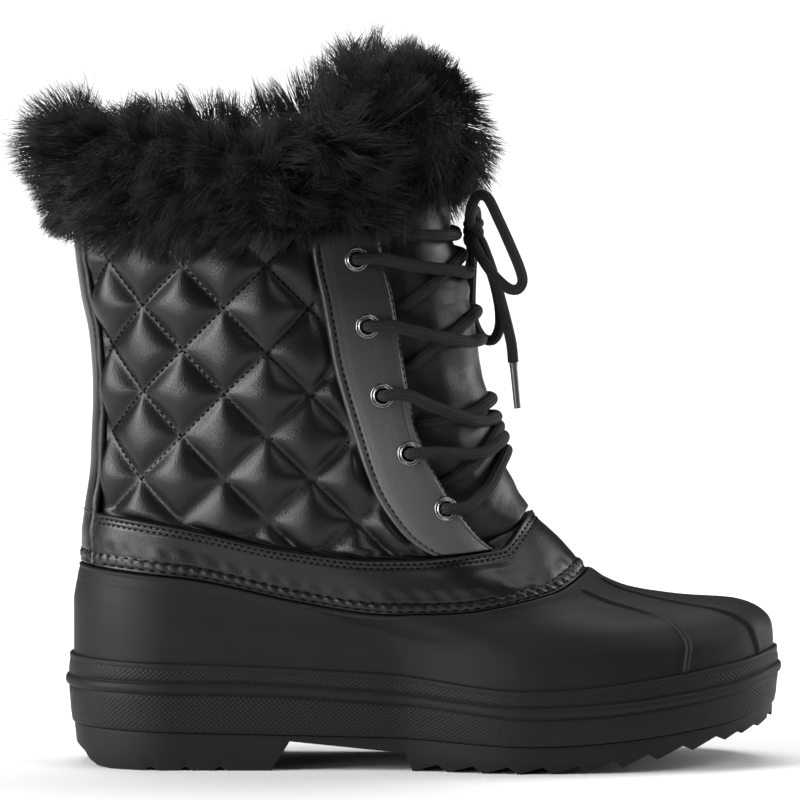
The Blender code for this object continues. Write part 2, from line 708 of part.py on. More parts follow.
def build_eyelet(name, share, level):
    """Turned ring on the eyestay, with its barrel through facing and wall."""
    normal, side, up = frame_at(share, level)
    seat = FACET_GAP + OVERLAY_WALL + EYELET_SEAT
    centre = off_last(np.float64(share), np.float64(level), 0.0)
    profile = (
        (EYELET_HOLE, seat + EYELET_RISE * .6),
        ((EYELET_HOLE + EYELET_OUTER) / 2, seat + EYELET_RISE),
        (EYELET_OUTER, seat),
        (EYELET_HOLE + EYELET_BARREL, seat),
        (EYELET_HOLE + EYELET_BARREL, -UPPER_WALL),
        (EYELET_HOLE, -UPPER_WALL),
    )
    ring = spokes(side, up, EYELET_SIDES)
    grid = np.stack([centre + ring * radius + normal * rise for radius, rise in profile], axis=1)
    count, around = grid.shape[:2]
    number = np.arange(count * around).reshape(count, around)
    faces = []
    for i in range(count):
        for j in range(around):
            n = (i + 1) % count
            k = (j + 1) % around
            faces.append((number[i, j], number[n, j], number[n, k], number[i, k]))
    return add_mesh(name, grid.reshape(-1, 3), faces, "nickel")


def punch_eyelet_holes(targets):
    """One cutter of ten short rods, used on the wall and on both facings."""
    rods = bmesh.new()
    for level, share in EYELETS:
        for side in (-1, 1):
            normal, across, up = frame_at(side * share, level)
            centre = off_last(np.float64(side * share), np.float64(level), 0.0)
            ring = spokes(across, up, EYELET_SIDES) * (EYELET_HOLE + PUNCH_CLEAR)
            reach = normal * PUNCH_REACH
            low = [rods.verts.new((centre + spoke - reach) * MILLIMETRE) for spoke in ring]
            high = [rods.verts.new((centre + spoke + reach) * MILLIMETRE) for spoke in ring]
            rods.faces.new(low)
            rods.faces.new(high)
            for j in range(len(low)):
                k = (j + 1) % len(low)
                rods.faces.new((low[j], low[k], high[k], high[j]))
    bmesh.ops.recalc_face_normals(rods, faces=rods.faces)
    mesh = bpy.data.meshes.new("eyelet_cutter")
    rods.to_mesh(mesh)
    rods.free()
    cutter = add_object("eyelet_cutter", mesh, "nickel")
    cutter.hide_render = True
    cutter.display_type = "WIRE"
    for thing in targets:
        cut(thing, cutter)


def tube(name, path, radius, finish, sides=6):
    """Closed round strand along a path, its section kept square to the run."""
    path = np.asarray(path)
    run = np.gradient(path, axis=0)
    run /= np.linalg.norm(run, axis=1, keepdims=True)
    across = np.cross(run, (0.0, 0.0, 1.0))
    across /= np.linalg.norm(across, axis=1, keepdims=True)
    up = np.cross(across, run)
    turns = np.arange(sides) * 2 * math.pi / sides
    ring = np.cos(turns)[None, :, None] * across[:, None] + np.sin(turns)[None, :, None] * up[:, None]
    points = (path[:, None] + ring * radius).reshape(-1, 3)
    number = np.arange(len(path) * sides).reshape(len(path), sides)
    faces = [tuple(number[0]), tuple(number[-1][::-1])]
    for i in range(len(path) - 1):
        for j in range(sides):
            k = (j + 1) % sides
            faces.append((number[i, j], number[i, k], number[i + 1, k], number[i + 1, j]))
    return add_mesh(name, points, faces, finish)


def over_front(first, last, rise=0.0, count=8, gap=STRAND_CLEAR):
    """Path over the throat between two (front share, level) places, clear of tongue and facings.

    rise arches its middle up by so many levels.
    """
    t = np.linspace(0, 1, count)
    front_share = first[0] + (last[0] - first[0]) * t
    level = first[1] + (last[1] - first[1]) * t + rise * 4 * t * (1 - t)
    on_facing = ease((np.abs(front_share) - throat_half(level) + .035) / .03)
    clear = LACE_DIAMETER / 2 + gap
    facing = 2 * FACET_GAP + OVERLAY_WALL + clear
    middle = tongue_face(front_share, level) + clear
    proud = np.maximum(middle, facing * on_facing + middle * (1 - on_facing))
    return off_last(1 - front_share, level, proud)


def eyelet_exit(index, side):
    """Where the lace leaves an eyelet on the outside, just clear of the ring."""
    level, share = EYELETS[index]
    return side * (1 - share - EYELET_EXIT), level


def under_edge(index, side):
    """Where the lace goes under the throat's edge, on its way down to an eyelet."""
    level = EYELETS[index][0] + UNDER_EDGE_RISE
    return side * (float(throat_half(level)) - .055), level


def build_lacing():
    radius = LACE_DIAMETER / 2
    last = len(EYELETS) - 1
    bar = over_front(eyelet_exit(last, -1), eyelet_exit(last, 1), BAR_RISE)
    tube("lace_bar", bar, radius, "cord")
    for index in range(last):
        rise = BAR_RISE if index == last - 1 else 0.0
        first, second = [
            tube(name + str(index + 1),
                 over_front(eyelet_exit(index, side), under_edge(index + 1, -side), rise, gap=CROSSING_CLEAR),
                 radius, "cord")
            for name, side in (("lace_cross_", -1), ("strand_", 1))
        ]
        second.hide_render = True
        second.display_type = "WIRE"
        cut(first, second, "UNION")
    for name, side in (("lateral", -1), ("medial", 1)):
        knot_side = (side * KNOT_REACH[name], KNOT_LEVEL)
        tube("lace_top_" + name, over_front(under_edge(0, side), knot_side, count=6), radius, "cord")


def smooth_route(route, spacing):
    """Evenly spaced points on a Catmull-Rom curve through the route's own points."""
    route = np.asarray(route, float)
    ends = np.vstack([2 * route[0] - route[1], route, 2 * route[-1] - route[-2]])
    fine = []
    for a, b, c, d in zip(ends[:-3], ends[1:-2], ends[2:-1], ends[3:]):
        t = np.linspace(0, 1, 12, endpoint=False)[:, None]
        fine.append(.5 * (2 * b + (c - a) * t + (2 * a - 5 * b + 4 * c - d) * t ** 2
                          + (3 * b - a - 3 * c + d) * t ** 3))
    fine = np.vstack([*fine, route[-1:]])
    run = np.concatenate([[0], np.cumsum(np.linalg.norm(np.diff(fine, axis=0), axis=1))])
    count = max(4, int(run[-1] / spacing) + 1)
    places = np.linspace(0, run[-1], count)
    return np.stack([np.interp(places, run, fine[:, axis]) for axis in range(3)], axis=1)


def cord(name, route, diameter, finish, spacing):
    """Curve object with a round bevel and filled caps along a smooth route."""
    points = smooth_route(route, spacing) * MILLIMETRE
    curve = bpy.data.curves.new(name, "CURVE")
    curve.dimensions = "3D"
    curve.bevel_depth = diameter / 2 * MILLIMETRE
    curve.bevel_resolution = 2
    curve.use_fill_caps = True
    spline = curve.splines.new("POLY")
    spline.points.add(len(points) - 1)
    spline.points.foreach_set("co", np.hstack([points, np.ones((len(points), 1))]).ravel())
    return add_object(name, curve, finish)


def build_bow():
    """Knot, two loops and two free ends with their tips."""
    around = spokes(np.array([KNOT_HALF_DEPTH, 0, 0]), np.array([0, KNOT_HALF_WIDTH, 0]), KNOT_SIDES)
    rings = [around * share + (0, 0, height) + LACE_KNOT for share, height in KNOT]
    stack("lace_knot", rings, "cord")
    for name, route in (("lace_loop_lateral", LOOP_LATERAL), ("lace_loop_medial", LOOP_MEDIAL),
                        ("lace_end_lateral", END_LATERAL), ("lace_end_medial", END_MEDIAL)):
        cord(name, route, LACE_DIAMETER, "cord", 2.2 * LACE_DIAMETER)
    for name, route in (("aglet_lateral", END_LATERAL), ("aglet_medial", END_MEDIAL)):
        tip = np.array(route[-1])
        run = tip - np.array(route[-2])
        run /= np.linalg.norm(run)
        start = tip + run * SEAT_GAP
        stops = [start, start + run * AGLET_LENGTH / 2, start + run * AGLET_LENGTH]
        cord(name, stops, AGLET_DIAMETER, "tip", AGLET_LENGTH / 2)


def centre_on_floor():
    """Puts the middle of the boot's box, measured without its bow, over the origin on one empty."""
    bpy.context.view_layer.update()
    graph = bpy.context.evaluated_depsgraph_get()
    solids = [thing for thing in bpy.context.scene.objects if not thing.hide_render]
    corners = []
    for thing in solids:
        if not thing.name.startswith(CORD_NODES):
            mesh = thing.evaluated_get(graph).to_mesh()
            points = np.empty(len(mesh.vertices) * 3)
            mesh.vertices.foreach_get("co", points)
            corners.append(points.reshape(-1, 3).min(axis=0))
            corners.append(points.reshape(-1, 3).max(axis=0))
    low = np.min(corners, axis=0)
    high = np.max(corners, axis=0)
    holder = bpy.data.objects.new("boot", None)
    bpy.context.scene.collection.objects.link(holder)
    for thing in list(bpy.context.scene.objects):
        if thing is not holder:
            thing.parent = holder
    holder.location = (-(low[0] + high[0]) / 2, -(low[1] + high[1]) / 2, -low[2])
    bpy.context.view_layer.update()


def main():
    clear_scene()
    build_outsole()
    build_foxing()
    build_insole()
    upper = build_upper()
    build_shell()
    build_vamp_band()
    facings = [build_eyestay("eyestay_lateral", -1), build_eyestay("eyestay_medial", 1)]
    build_backstay()
    build_tongue()
    build_fur()
    for index, (level, share) in enumerate(EYELETS, start=1):
        build_eyelet(f"eyelet_lateral_{index}", -share, level)
        build_eyelet(f"eyelet_medial_{index}", share, level)
    punch_eyelet_holes([upper, *facings])
    build_lacing()
    build_bow()
    centre_on_floor()


main()
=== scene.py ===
# %% [markdown]
# # A laced winter boot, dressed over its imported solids
#
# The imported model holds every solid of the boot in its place. This lesson dresses it: each cell makes one
# piece or one finish. Lengths are the boot's own millimetres, with X from heel to toe, Y from the outer to
# the inner side and Z up from the floor, and they become metres only when a mesh is made. The knot of the
# lace is the one solid whose middle is known in both frames, so it gives the shift between them.

# %% Frame and units
import math

import bmesh
import bpy
import numpy as np
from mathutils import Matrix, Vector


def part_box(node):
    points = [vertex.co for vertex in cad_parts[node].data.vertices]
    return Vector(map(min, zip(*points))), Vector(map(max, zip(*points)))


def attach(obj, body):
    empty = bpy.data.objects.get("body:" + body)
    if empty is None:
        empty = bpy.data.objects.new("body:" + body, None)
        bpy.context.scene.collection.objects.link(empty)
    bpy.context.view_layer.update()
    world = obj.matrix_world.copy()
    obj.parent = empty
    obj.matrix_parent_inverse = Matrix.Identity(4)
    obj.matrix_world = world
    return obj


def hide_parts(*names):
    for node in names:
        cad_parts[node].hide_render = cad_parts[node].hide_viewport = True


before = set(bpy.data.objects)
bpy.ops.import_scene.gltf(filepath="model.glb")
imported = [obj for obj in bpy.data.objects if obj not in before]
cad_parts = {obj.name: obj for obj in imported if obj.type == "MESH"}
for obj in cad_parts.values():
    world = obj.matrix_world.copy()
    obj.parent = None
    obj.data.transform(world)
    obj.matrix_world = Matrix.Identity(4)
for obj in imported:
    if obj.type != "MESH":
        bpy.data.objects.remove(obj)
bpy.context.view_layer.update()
MM = 0.001
KNOT = np.array([158.5, -1.0, 207.5])
knot_low, knot_high = (np.array(corner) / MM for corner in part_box("lace_knot"))
SHIFT = (knot_low + knot_high) / 2 - KNOT
SHIFT[2] = 0.0
print("boot frame to row frame, mm:", np.round(SHIFT, 2))

# %% [markdown]
# ## Camera
#
# The boot is seen square from its outer side, from a little above the floor, and its two sides show almost
# no perspective. A long lens far away gives that view. One pixel of the 800 pixel picture covers 0.39 mm of
# the boot's middle plane, which sets the distance, and two known pixels set the aim.

# %% Camera
PICTURE = 800
PIXEL = 0.39
HEEL_PIXEL = 67
FLOOR_PIXEL = 761
ELEVATION = math.radians(5.5)
LENS = 600.0
SENSOR = 36.0

middle = PICTURE / 2
aim = np.array([(middle - HEEL_PIXEL) * PIXEL, 0.0, (FLOOR_PIXEL - middle) * PIXEL / math.cos(ELEVATION)])
distance = PICTURE * PIXEL * LENS / SENSOR
backwards = np.array([0.0, -math.cos(ELEVATION), math.sin(ELEVATION)])
camera_data = bpy.data.cameras.new("camera")
camera_data.lens = LENS
camera_data.sensor_width = SENSOR
camera_data.clip_end = 100.0
camera = bpy.data.objects.new("camera", camera_data)
camera.location = (aim + SHIFT + backwards * distance) * MM
camera.rotation_euler = (math.pi / 2 - ELEVATION, 0.0, 0.0)
bpy.context.scene.collection.objects.link(camera)
bpy.context.scene.camera = camera
print("camera distance, m:", round(distance * MM, 2))

# %% [markdown]
# ## Studio
#
# Glossy black shows its lights and little else. A tall soft box stands at the left of the boot and a smaller
# one at its right, so that what faces sideways is bright and what faces the camera stays black. A small low
# box lights the back of the shaft, and one behind the toe draws a bright edge along the front. A wide box
# overhead lifts the fur, the instep and the pale floor, and a weak one beside the camera opens up the rubber.
# The last box hangs behind the boot and keeps the floor white up to the top of the picture.

# %% Lights and floor
# Each light: name, place, size, target, spread in degrees and watts.
LIGHTS = (
    ("left_box", (-1.10, -0.40, 0.60), (0.60, 1.25), (0.0, 0.0, 0.15), 75, 5.8),
    ("low_box", (-0.40, -0.45, 0.10), (0.26, 0.24), (-0.05, -0.05, 0.19), 50, 0.2),
    ("right_box", (0.85, -0.50, 1.05), (0.6, 0.6), (0.0, 0.0, 0.15), 70, 0.7),
    ("edge_box", (1.05, 0.35, 0.40), (0.5, 0.8), (0.0, 0.0, 0.15), 80, 1.8),
    ("top_box", (0.0, 0.62, 1.7), (1.8, 1.0), (0.0, 0.62, 0.0), 72, 7.6),
    ("front_box", (-0.2, -2.4, 0.9), (1.6, 1.2), (0.0, 0.0, 0.13), 90, 0.15),
    ("floor_box", (0.0, 3.4, 2.4), (3.4, 5.0), (0.0, 3.4, 0.0), 70, 72.0),
)


def aimed(place, target):
    """Turn of a light whose own -Z axis looks from place to target."""
    x, y, z = np.asarray(target) - np.asarray(place)
    return (math.atan2(math.hypot(x, y), -z), 0.0, math.atan2(-x, y) if x or y else 0.0)


for name, place, (width, height), target, spread, watts in LIGHTS:
    light_data = bpy.data.lights.new(name, "AREA")
    light_data.shape = "RECTANGLE"
    light_data.size = width
    light_data.size_y = height
    light_data.spread = math.radians(spread)
    light_data.energy = watts
    light = bpy.data.objects.new(name, light_data)
    light.location = place
    light.rotation_euler = aimed(place, target)
    bpy.context.scene.collection.objects.link(light)

world = bpy.data.worlds.new("studio")
world.use_nodes = True
background = world.node_tree.nodes["Background"]
background.inputs["Color"].default_value = (1.0, 1.0, 1.0, 1.0)
background.inputs["Strength"].default_value = 0.04
bpy.context.scene.world = world
bpy.context.scene.view_settings.view_transform = "Standard"

FLOOR_HALF = 9.0
floor_mesh = bpy.data.meshes.new("floor")
floor_mesh.from_pydata(
    [(-FLOOR_HALF, -FLOOR_HALF, 0), (FLOOR_HALF, -FLOOR_HALF, 0), (FLOOR_HALF, FLOOR_HALF, 0),
     (-FLOOR_HALF, FLOOR_HALF, 0)],
    [], [(0, 1, 2, 3)],
)
floor = bpy.data.objects.new("floor", floor_mesh)
floor_finish = bpy.data.materials.new("floor_paper")
floor_finish.use_nodes = True
floor_shader = floor_finish.node_tree.nodes["Principled BSDF"]
floor_shader.inputs["Base Color"].default_value = (0.93, 0.93, 0.93, 1.0)
floor_shader.inputs["Roughness"].default_value = 0.9
floor_shader.inputs["Specular IOR Level"].default_value = 0.1
floor_mesh.materials.append(floor_finish)
bpy.context.scene.collection.objects.link(floor)
print(len(LIGHTS), "soft boxes and a pale floor")

# %% [markdown]
# ## Finishes
#
# Every finish is a Principled shader with its constants on its own sockets and a small net of nodes for
# what changes over the surface: grain, pores, weave or hatch, as bump and as roughness. A helper adds a
# node with its values, so that each finish reads as a short recipe.

# %% Finish helpers


def finish(name, colour, roughness, **sockets):
    """New material with a Principled shader; further sockets are given with _ in place of spaces."""
    material = bpy.data.materials.new(name)
    material.use_nodes = True
    shader = material.node_tree.nodes["Principled BSDF"]
    shader.inputs["Base Color"].default_value = (*colour, 1.0)
    shader.inputs["Roughness"].default_value = roughness
    for socket, value in sockets.items():
        shader.inputs[socket.replace("_", " ")].default_value = value
    return material


def node(material, kind, inputs=(), **settings):
    """Node of this kind; inputs pairs a socket name or number with a value or with another node's output."""
    made = material.node_tree.nodes.new(kind)
    for setting, value in settings.items():
        setattr(made, setting, value)
    for socket, value in inputs:
        if isinstance(value, bpy.types.NodeSocket):
            material.node_tree.links.new(value, made.inputs[socket])
        else:
            made.inputs[socket].default_value = value
    return made


def into_shader(material, socket, output):
    shader = material.node_tree.nodes["Principled BSDF"]
    material.node_tree.links.new(output, shader.inputs[socket])


def bumped(material, heights):
    """Chains bump nodes, one for each (height output, strength, distance in metres), into the normal."""
    normal = None
    for height, strength, depth in heights:
        bump = node(material, "ShaderNodeBump",
                    [("Height", height), ("Strength", strength), ("Distance", depth)])
        if normal:
            material.node_tree.links.new(normal, bump.inputs["Normal"])
        normal = bump.outputs["Normal"]
    into_shader(material, "Normal", normal)


def ramp(material, value, low, high):
    """Value between 0 and 1 of a range, stretched to run from low to high."""
    made = node(material, "ShaderNodeMapRange", [("Value", value), ("To Min", low), ("To Max", high)])
    return made.outputs["Result"]


def object_place(material):
    """Coordinates on the piece itself, in metres."""
    return node(material, "ShaderNodeTexCoord").outputs["Object"]


def noise(material, place, scale, **sockets):
    """Cloudy noise at a place; further sockets, such as Detail, are given by name."""
    inputs = [("Vector", place), ("Scale", scale), *sockets.items()]
    return node(material, "ShaderNodeTexNoise", inputs).outputs["Fac"]


def two_tone(material, factor, dark, light):
    """Base colour that runs from dark to light with a factor."""
    tone = node(material, "ShaderNodeMix", [("Factor", factor), ("A", (*dark, 1)), ("B", (*light, 1))],
                data_type="RGBA")
    into_shader(material, "Base Color", tone.outputs["Result"])


# %% [markdown]
# ## Lace cord
#
# The lace is a round braided cord, black and dull, with fine ribs along its length: 4.8 mm thick where it is
# laced and 4.2 mm in the bow. The bow is a loop that stands up and falls over to the toe, a loop that hangs
# at the inner side, and two ends with grey plastic tips. A cord could be a bevelled curve, but a ring of
# points carried along a smooth route also gives a map along and around it, which the finish's braid follows.

# %% Lace finishes
PER_TURN = 10.0


def make_lace_finish():
    """Braid: ribs along the cord, cut by slanting rows of small stitches, on the cord's own map in mm."""
    material = finish("lace_braid", (0.011, 0.011, 0.012), 0.78, Specular_IOR_Level=0.35)
    place = node(material, "ShaderNodeUVMap").outputs["UV"]
    ribs = node(material, "ShaderNodeTexWave", [("Vector", place), ("Scale", 0.32)],
                bands_direction="X", wave_profile="SIN")
    turned = node(material, "ShaderNodeMapping", [("Vector", place), ("Rotation", (0, 0, 0.6))])
    rows = node(material, "ShaderNodeTexWave", [("Vector", turned.outputs["Vector"]), ("Scale", 0.42)],
                bands_direction="Y", wave_profile="SIN")
    bumped(material, [(ribs.outputs["Fac"], 0.8, 0.0004), (rows.outputs["Fac"], 0.55, 0.0003)])
    into_shader(material, "Roughness", ramp(material, rows.outputs["Fac"], 0.7, 0.9))
    return material


def make_tip_finish():
    """Clear-grey plastic film of the lace tips, a little cloudy."""
    material = finish("lace_tip", (0.07, 0.07, 0.072), 0.3, Coat_Weight=0.4)
    cloud = noise(material, object_place(material), 700.0)
    into_shader(material, "Roughness", ramp(material, cloud, 0.22, 0.45))
    bumped(material, [(cloud, 0.2, 0.0002)])
    return material


LACE = make_lace_finish()
LACE_TIP = make_tip_finish()

# %% Mesh helpers
WELD = 1.2e-5


def outward_faces(points, faces):
    """Faces turned so that the closed shape they bound has a positive volume."""
    a, b, c = (points[faces[:, corner]] for corner in (0, 1, 2))
    volume = np.einsum("ij,ij->", a, np.cross(b, c))
    if faces.shape[1] == 4:
        d = points[faces[:, 3]]
        volume += np.einsum("ij,ij->", a, np.cross(c, d))
    return faces if volume > 0 else faces[:, ::-1]


def weld(mesh):
    """Joins points that lie on one another, which closes the seams and poles of a surface."""
    shape = bmesh.new()
    shape.from_mesh(mesh)
    bmesh.ops.remove_doubles(shape, verts=shape.verts, dist=WELD)
    shape.to_mesh(mesh)
    shape.free()


def add_piece(name, points, faces, finishes, uv=None, finish_of_face=None, welded=True):
    """Mesh object from millimetre points and an array of quads or of triangles, riding on the boot."""
    faces = outward_faces(points, faces)
    used, index = np.unique(faces, return_inverse=True)
    corners = index.reshape(-1)
    count, sides = faces.shape
    mesh = bpy.data.meshes.new(name)
    mesh.vertices.add(len(used))
    mesh.vertices.foreach_set("co", ((points[used] + SHIFT) * MM).ravel())
    mesh.loops.add(len(corners))
    mesh.loops.foreach_set("vertex_index", corners)
    mesh.polygons.add(count)
    mesh.polygons.foreach_set("loop_start", np.arange(count) * sides)
    mesh.polygons.foreach_set("use_smooth", np.ones(count, bool))
    if uv is not None:
        layer = mesh.uv_layers.new(name="UVMap")
        layer.data.foreach_set("uv", uv[used][corners].astype(np.float32).ravel())
    for material in finishes if isinstance(finishes, (list, tuple)) else [finishes]:
        mesh.materials.append(material)
    if finish_of_face is not None:
        mesh.polygons.foreach_set("material_index", finish_of_face.astype(np.int32))
    mesh.update(calc_edges=True)
    if welded:
        weld(mesh)
    made = bpy.data.objects.new(name, mesh)
    bpy.context.scene.collection.objects.link(made)
    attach(made, "root")
    print(name, count * (sides - 2), "triangles")
    return made


def grid_quads(number):
    """Quads between neighbouring rows and columns of a grid of point numbers, or of a stack of such grids."""
    corners = number[..., :-1, :-1], number[..., :-1, 1:], number[..., 1:, 1:], number[..., 1:, :-1]
    return np.stack(corners, axis=-1).reshape(-1, 4)


def numbered(grid):
    """Number of each point of a grid, in the order in which its points are listed."""
    return np.arange(grid.size // 3).reshape(grid.shape[:-1])


def unit(vectors):
    return vectors / np.linalg.norm(vectors, axis=-1, keepdims=True)


def spokes(turn, across, up):
    """Directions at these turns around several axes, blended from two directions square to each axis."""
    return np.cos(turn)[None, :, None] * across[:, None] + np.sin(turn)[None, :, None] * up[:, None]


def run_along(path):
    """Way from a path's start to each of its points, summed up step by step."""
    return np.concatenate([[0], np.cumsum(np.linalg.norm(np.diff(path, axis=0), axis=1))])


# %% Cord along a route
LACE_DIAMETER = 4.8
BOW_DIAMETER = 4.2
AGLET_DIAMETER = 3.0
AGLET_LENGTH = 18.0
AGLET_SIDES = 14
CORD_SIDES = 16
CORD_STEP = 1.1
CORD_END = 0.003
SPAN_STEPS = 40
OFF_EVERY_PATH = (0.31, 0.95, 0.05)


def smooth_route(route, step):
    """Evenly spaced points on a Catmull-Rom curve: each span is a cubic through its ends, whose slope at a
    point is half the way between that point's two neighbours."""
    route = np.asarray(route, float)
    ends = np.vstack([2 * route[0] - route[1], route, 2 * route[-1] - route[-2]])
    a, b, c, d = (ends[k:len(ends) - 3 + k, None] for k in range(4))
    t = np.linspace(0, 1, SPAN_STEPS, endpoint=False)[None, :, None]
    spans = (b + (c - a) * t / 2 + (2 * a - 5 * b + 4 * c - d) * t ** 2 / 2
             + (3 * b - a - 3 * c + d) * t ** 3 / 2)
    fine = np.vstack([spans.reshape(-1, 3), route[-1:]])
    run = run_along(fine)
    places = np.linspace(0, run[-1], max(4, int(run[-1] / step) + 1))
    return np.stack([np.interp(places, run, fine[:, axis]) for axis in range(3)], axis=1)


def carried_frames(path):
    """Two directions square to the path at each point, turned as little as can be from point to point."""
    run = unit(np.gradient(path, axis=0))
    first = unit(np.cross(run[0], OFF_EVERY_PATH))
    across = np.empty_like(path)
    for index, direction in enumerate(run):
        first = first - direction * (first @ direction)
        first /= np.linalg.norm(first)
        across[index] = first
    return across, np.cross(run, across)


def cord_surface(path, radius, sides=CORD_SIDES):
    """Points, quads and map of a round cord: a ring of given radius carried along the path, its ends closed
    by rings that shrink to nearly nothing."""
    radius = np.concatenate([[CORD_END], np.broadcast_to(radius, len(path)), [CORD_END]])
    path, across, up = (np.concatenate([rows[:1], rows, rows[-1:]]) for rows in (path, *carried_frames(path)))
    turn = np.linspace(0, 2 * math.pi, sides + 1)
    points = path[:, None] + spokes(turn, across, up) * radius[:, None, None]
    around = turn / (2 * math.pi) * PER_TURN
    uv = np.stack(np.broadcast_arrays(around[None], run_along(path)[:, None]), axis=-1)
    return points.reshape(-1, 3), grid_quads(numbered(points)), uv.reshape(-1, 2)


# %% Bow: loops, ends and tips
LOOP_LATERAL = (
    (157.6, -3.8, 209.6), (157.0, -7.6, 212.6), (157.8, -11.0, 218.4), (160.4, -13.2, 222.6),
    (164.0, -15.2, 221.6), (168.0, -17.6, 213.8), (172.4, -20.0, 204.2), (176.2, -21.8, 195.2),
    (177.4, -22.6, 190.0), (175.6, -22.2, 186.8), (171.8, -20.0, 187.0), (166.4, -16.0, 191.6),
    (161.8, -11.0, 197.6), (159.0, -6.6, 202.4), (158.2, -3.4, 204.6),
)
LOOP_MEDIAL = (
    (158.2, 2.6, 208.2), (157.6, 6.4, 206.6), (157.6, 10.6, 202.4), (158.0, 14.6, 195.5),
    (157.6, 17.6, 186.0), (157.6, 19.4, 176.0), (159.4, 19.6, 168.4), (162.6, 17.6, 163.9),
    (166.4, 14.0, 163.9), (168.7, 10.9, 168.6), (168.8, 8.4, 176.0), (167.2, 6.0, 185.0),
    (164.6, 3.6, 193.8), (162.4, 1.6, 199.6), (159.8, 0.2, 203.4),
)
END_LATERAL = (
    (159.6, -1.8, 206.4), (161.6, -3.6, 203.4), (163.6, -5.6, 198.6), (166.4, -8.0, 190.6),
    (169.2, -10.2, 181.0), (171.8, -11.8, 171.0), (173.3, -12.5, 163.8), (173.9, -12.7, 157.4),
)
END_MEDIAL = (
    (158.0, 0.6, 209.4), (157.3, 4.2, 212.6), (158.4, 9.6, 215.4), (159.6, 15.0, 213.2),
    (159.4, 20.5, 206.5), (158.0, 25.0, 196.0), (156.6, 28.0, 184.0), (156.2, 29.4, 172.0),
    (156.4, 30.0, 160.0),
)


def path_length(path):
    return float(run_along(path)[-1])


def add_cord(name, route):
    """One free stretch of the lace, made as a cord of the bow's thickness, with its length printed."""
    path = smooth_route(route, CORD_STEP)
    points, faces, uv = cord_surface(path, BOW_DIAMETER / 2)
    made = add_piece(name, points, faces, LACE, uv)
    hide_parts(name)
    print(name, "is", round(path_length(path)), "mm long")
    return made


def add_tip(name, route):
    """Lace tip: a film tube pinched at both rims, in line with the cord's last stretch."""
    end = np.array(route[-1])
    run = unit(end - np.array(route[-2]))
    along = np.linspace(-1.0, AGLET_LENGTH, 60)
    path = end + run * along[:, None]
    share = np.clip(along / AGLET_LENGTH, 0, 1)
    radius = AGLET_DIAMETER / 2 * (1 - 0.12 * share) + 0.18 * np.exp(-((share - 0.05) / 0.04) ** 2)
    points, faces, uv = cord_surface(path, radius, AGLET_SIDES)
    made = add_piece(name, points, faces, LACE_TIP, uv)
    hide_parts(name)
    return made


tip_lateral = add_tip("aglet_lateral", END_LATERAL)
tip_medial = add_tip("aglet_medial", END_MEDIAL)
add_cord("lace_loop_lateral", LOOP_LATERAL)
add_cord("lace_loop_medial", LOOP_MEDIAL)
add_cord("lace_end_lateral", END_LATERAL)
add_cord("lace_end_medial", END_MEDIAL)

# %% Knot
KNOT_SCALE = 1.55


def knot_path(count=150):
    """Trefoil: a circle wound twice around while it weaves up and down three times, facing the toe."""
    t = np.linspace(0, 2 * math.pi, count)
    wide = np.sin(t) + 2 * np.sin(2 * t)
    high = np.cos(t) - 2 * np.cos(2 * t)
    deep = -1.3 * np.sin(3 * t)
    return KNOT + KNOT_SCALE * np.stack([deep, wide, high], axis=1)


points, faces, uv = cord_surface(knot_path(), BOW_DIAMETER / 2)
knot = add_piece("lace_knot", points, faces, LACE, uv)
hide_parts("lace_knot")

# %% [markdown]
# ## The boot's surface
#
# Upper, shell, band, facings, tongue and fur all follow one surface, the last. Its place is given by two
# numbers: share runs from -1 at the front over the outer side to 0 at the heel and on to 1 at the front,
# and level runs from 0 at the footbed to 14 at the collar. A short table gives the size of each level, and
# a cubic that never swings past a table value joins the levels. The same table shaped the solids, so each
# new piece lies where its solid lies.

# %% Tables of the last
SOLE_LENGTH = 280.0
BALL_WIDTH = 104.0
LAST_COLUMNS = (
    "back", "front", "y_front", "round_back", "round_front", "heel", "waist", "ball",
    "up_back", "up_heel", "up_waist", "up_ball", "up_throat", "up_front",
)
LAST = {
    "bed":        (.029, .964, 7, 34, 76, .587, .596, .865, 34, 32.5, 29, 23.5, 31.5, 36),
    "feather":    (.023, .971, 7, 34, 78, .606, .615, .894, 43, 41.5, 38, 32.5, 40.5, 45),
    "wall":       (.023, .966, 7, 34, 78, .606, .615, .885, 55, 53, 47, 43, 47.5, 52),
    "toe_dome":   (.023, .925, 6, 34, 70, .592, .606, .837, 63, 60.5, 53.5, 50, 53.5, 58.5),
    "toe_top":    (.026, .850, 5, 34, 60, .583, .602, .788, 69, 66, 58, 54.5, 56.8, 60.8),
    "toe_back":   (.029, .782, 4, 34, 50, .577, .606, .750, 73.5, 70.5, 61.5, 57.5, 60, 64),
    "rim":        (.032, .719, 3, 34, 44, .577, .615, .731, 78, 74.5, 65.5, 61, 66, 72.5),
    "vamp":       (.032, .681, 1.5, 36, 40, .587, .644, .712, 89.5, 86, 76.5, 72, 75.5, 84.5),
    "band_top":   (.036, .636, 0, 40, 42, .615, .673, .702, 100, 96, 87.5, 83.5, 85, 97.5),
    "ankle":      (.040, .614, 0, 50, 48, .683, .740, .702, 118, 116.5, 112, 108, 108, 116),
    "shin_low":   (.043, .5875, 0, 56, 54, .750, .808, .721, 141, 141, 139.5, 137.5, 137.5, 141),
    "shin":       (.038, .571, 0, 60, 60, .808, .875, .750, 167, 167, 166, 165, 165, 167),
    "calf":       (.027, .561, 0, 62, 62, .837, .904, .769, 184, 184, 184, 184, 184, 184),
    "cuff_line":  (.016, .539, 0, 64, 64, .865, .933, .788, 206, 206, 206, 206, 206, 206),
    "collar":     (.007, .529, 0, 64, 64, .875, .942, .798, 238, 238, 238, 238, 238, 238),
}
LEVEL = {name: number for number, name in enumerate(LAST)}
LAST_ROWS = np.array(list(LAST.values()))
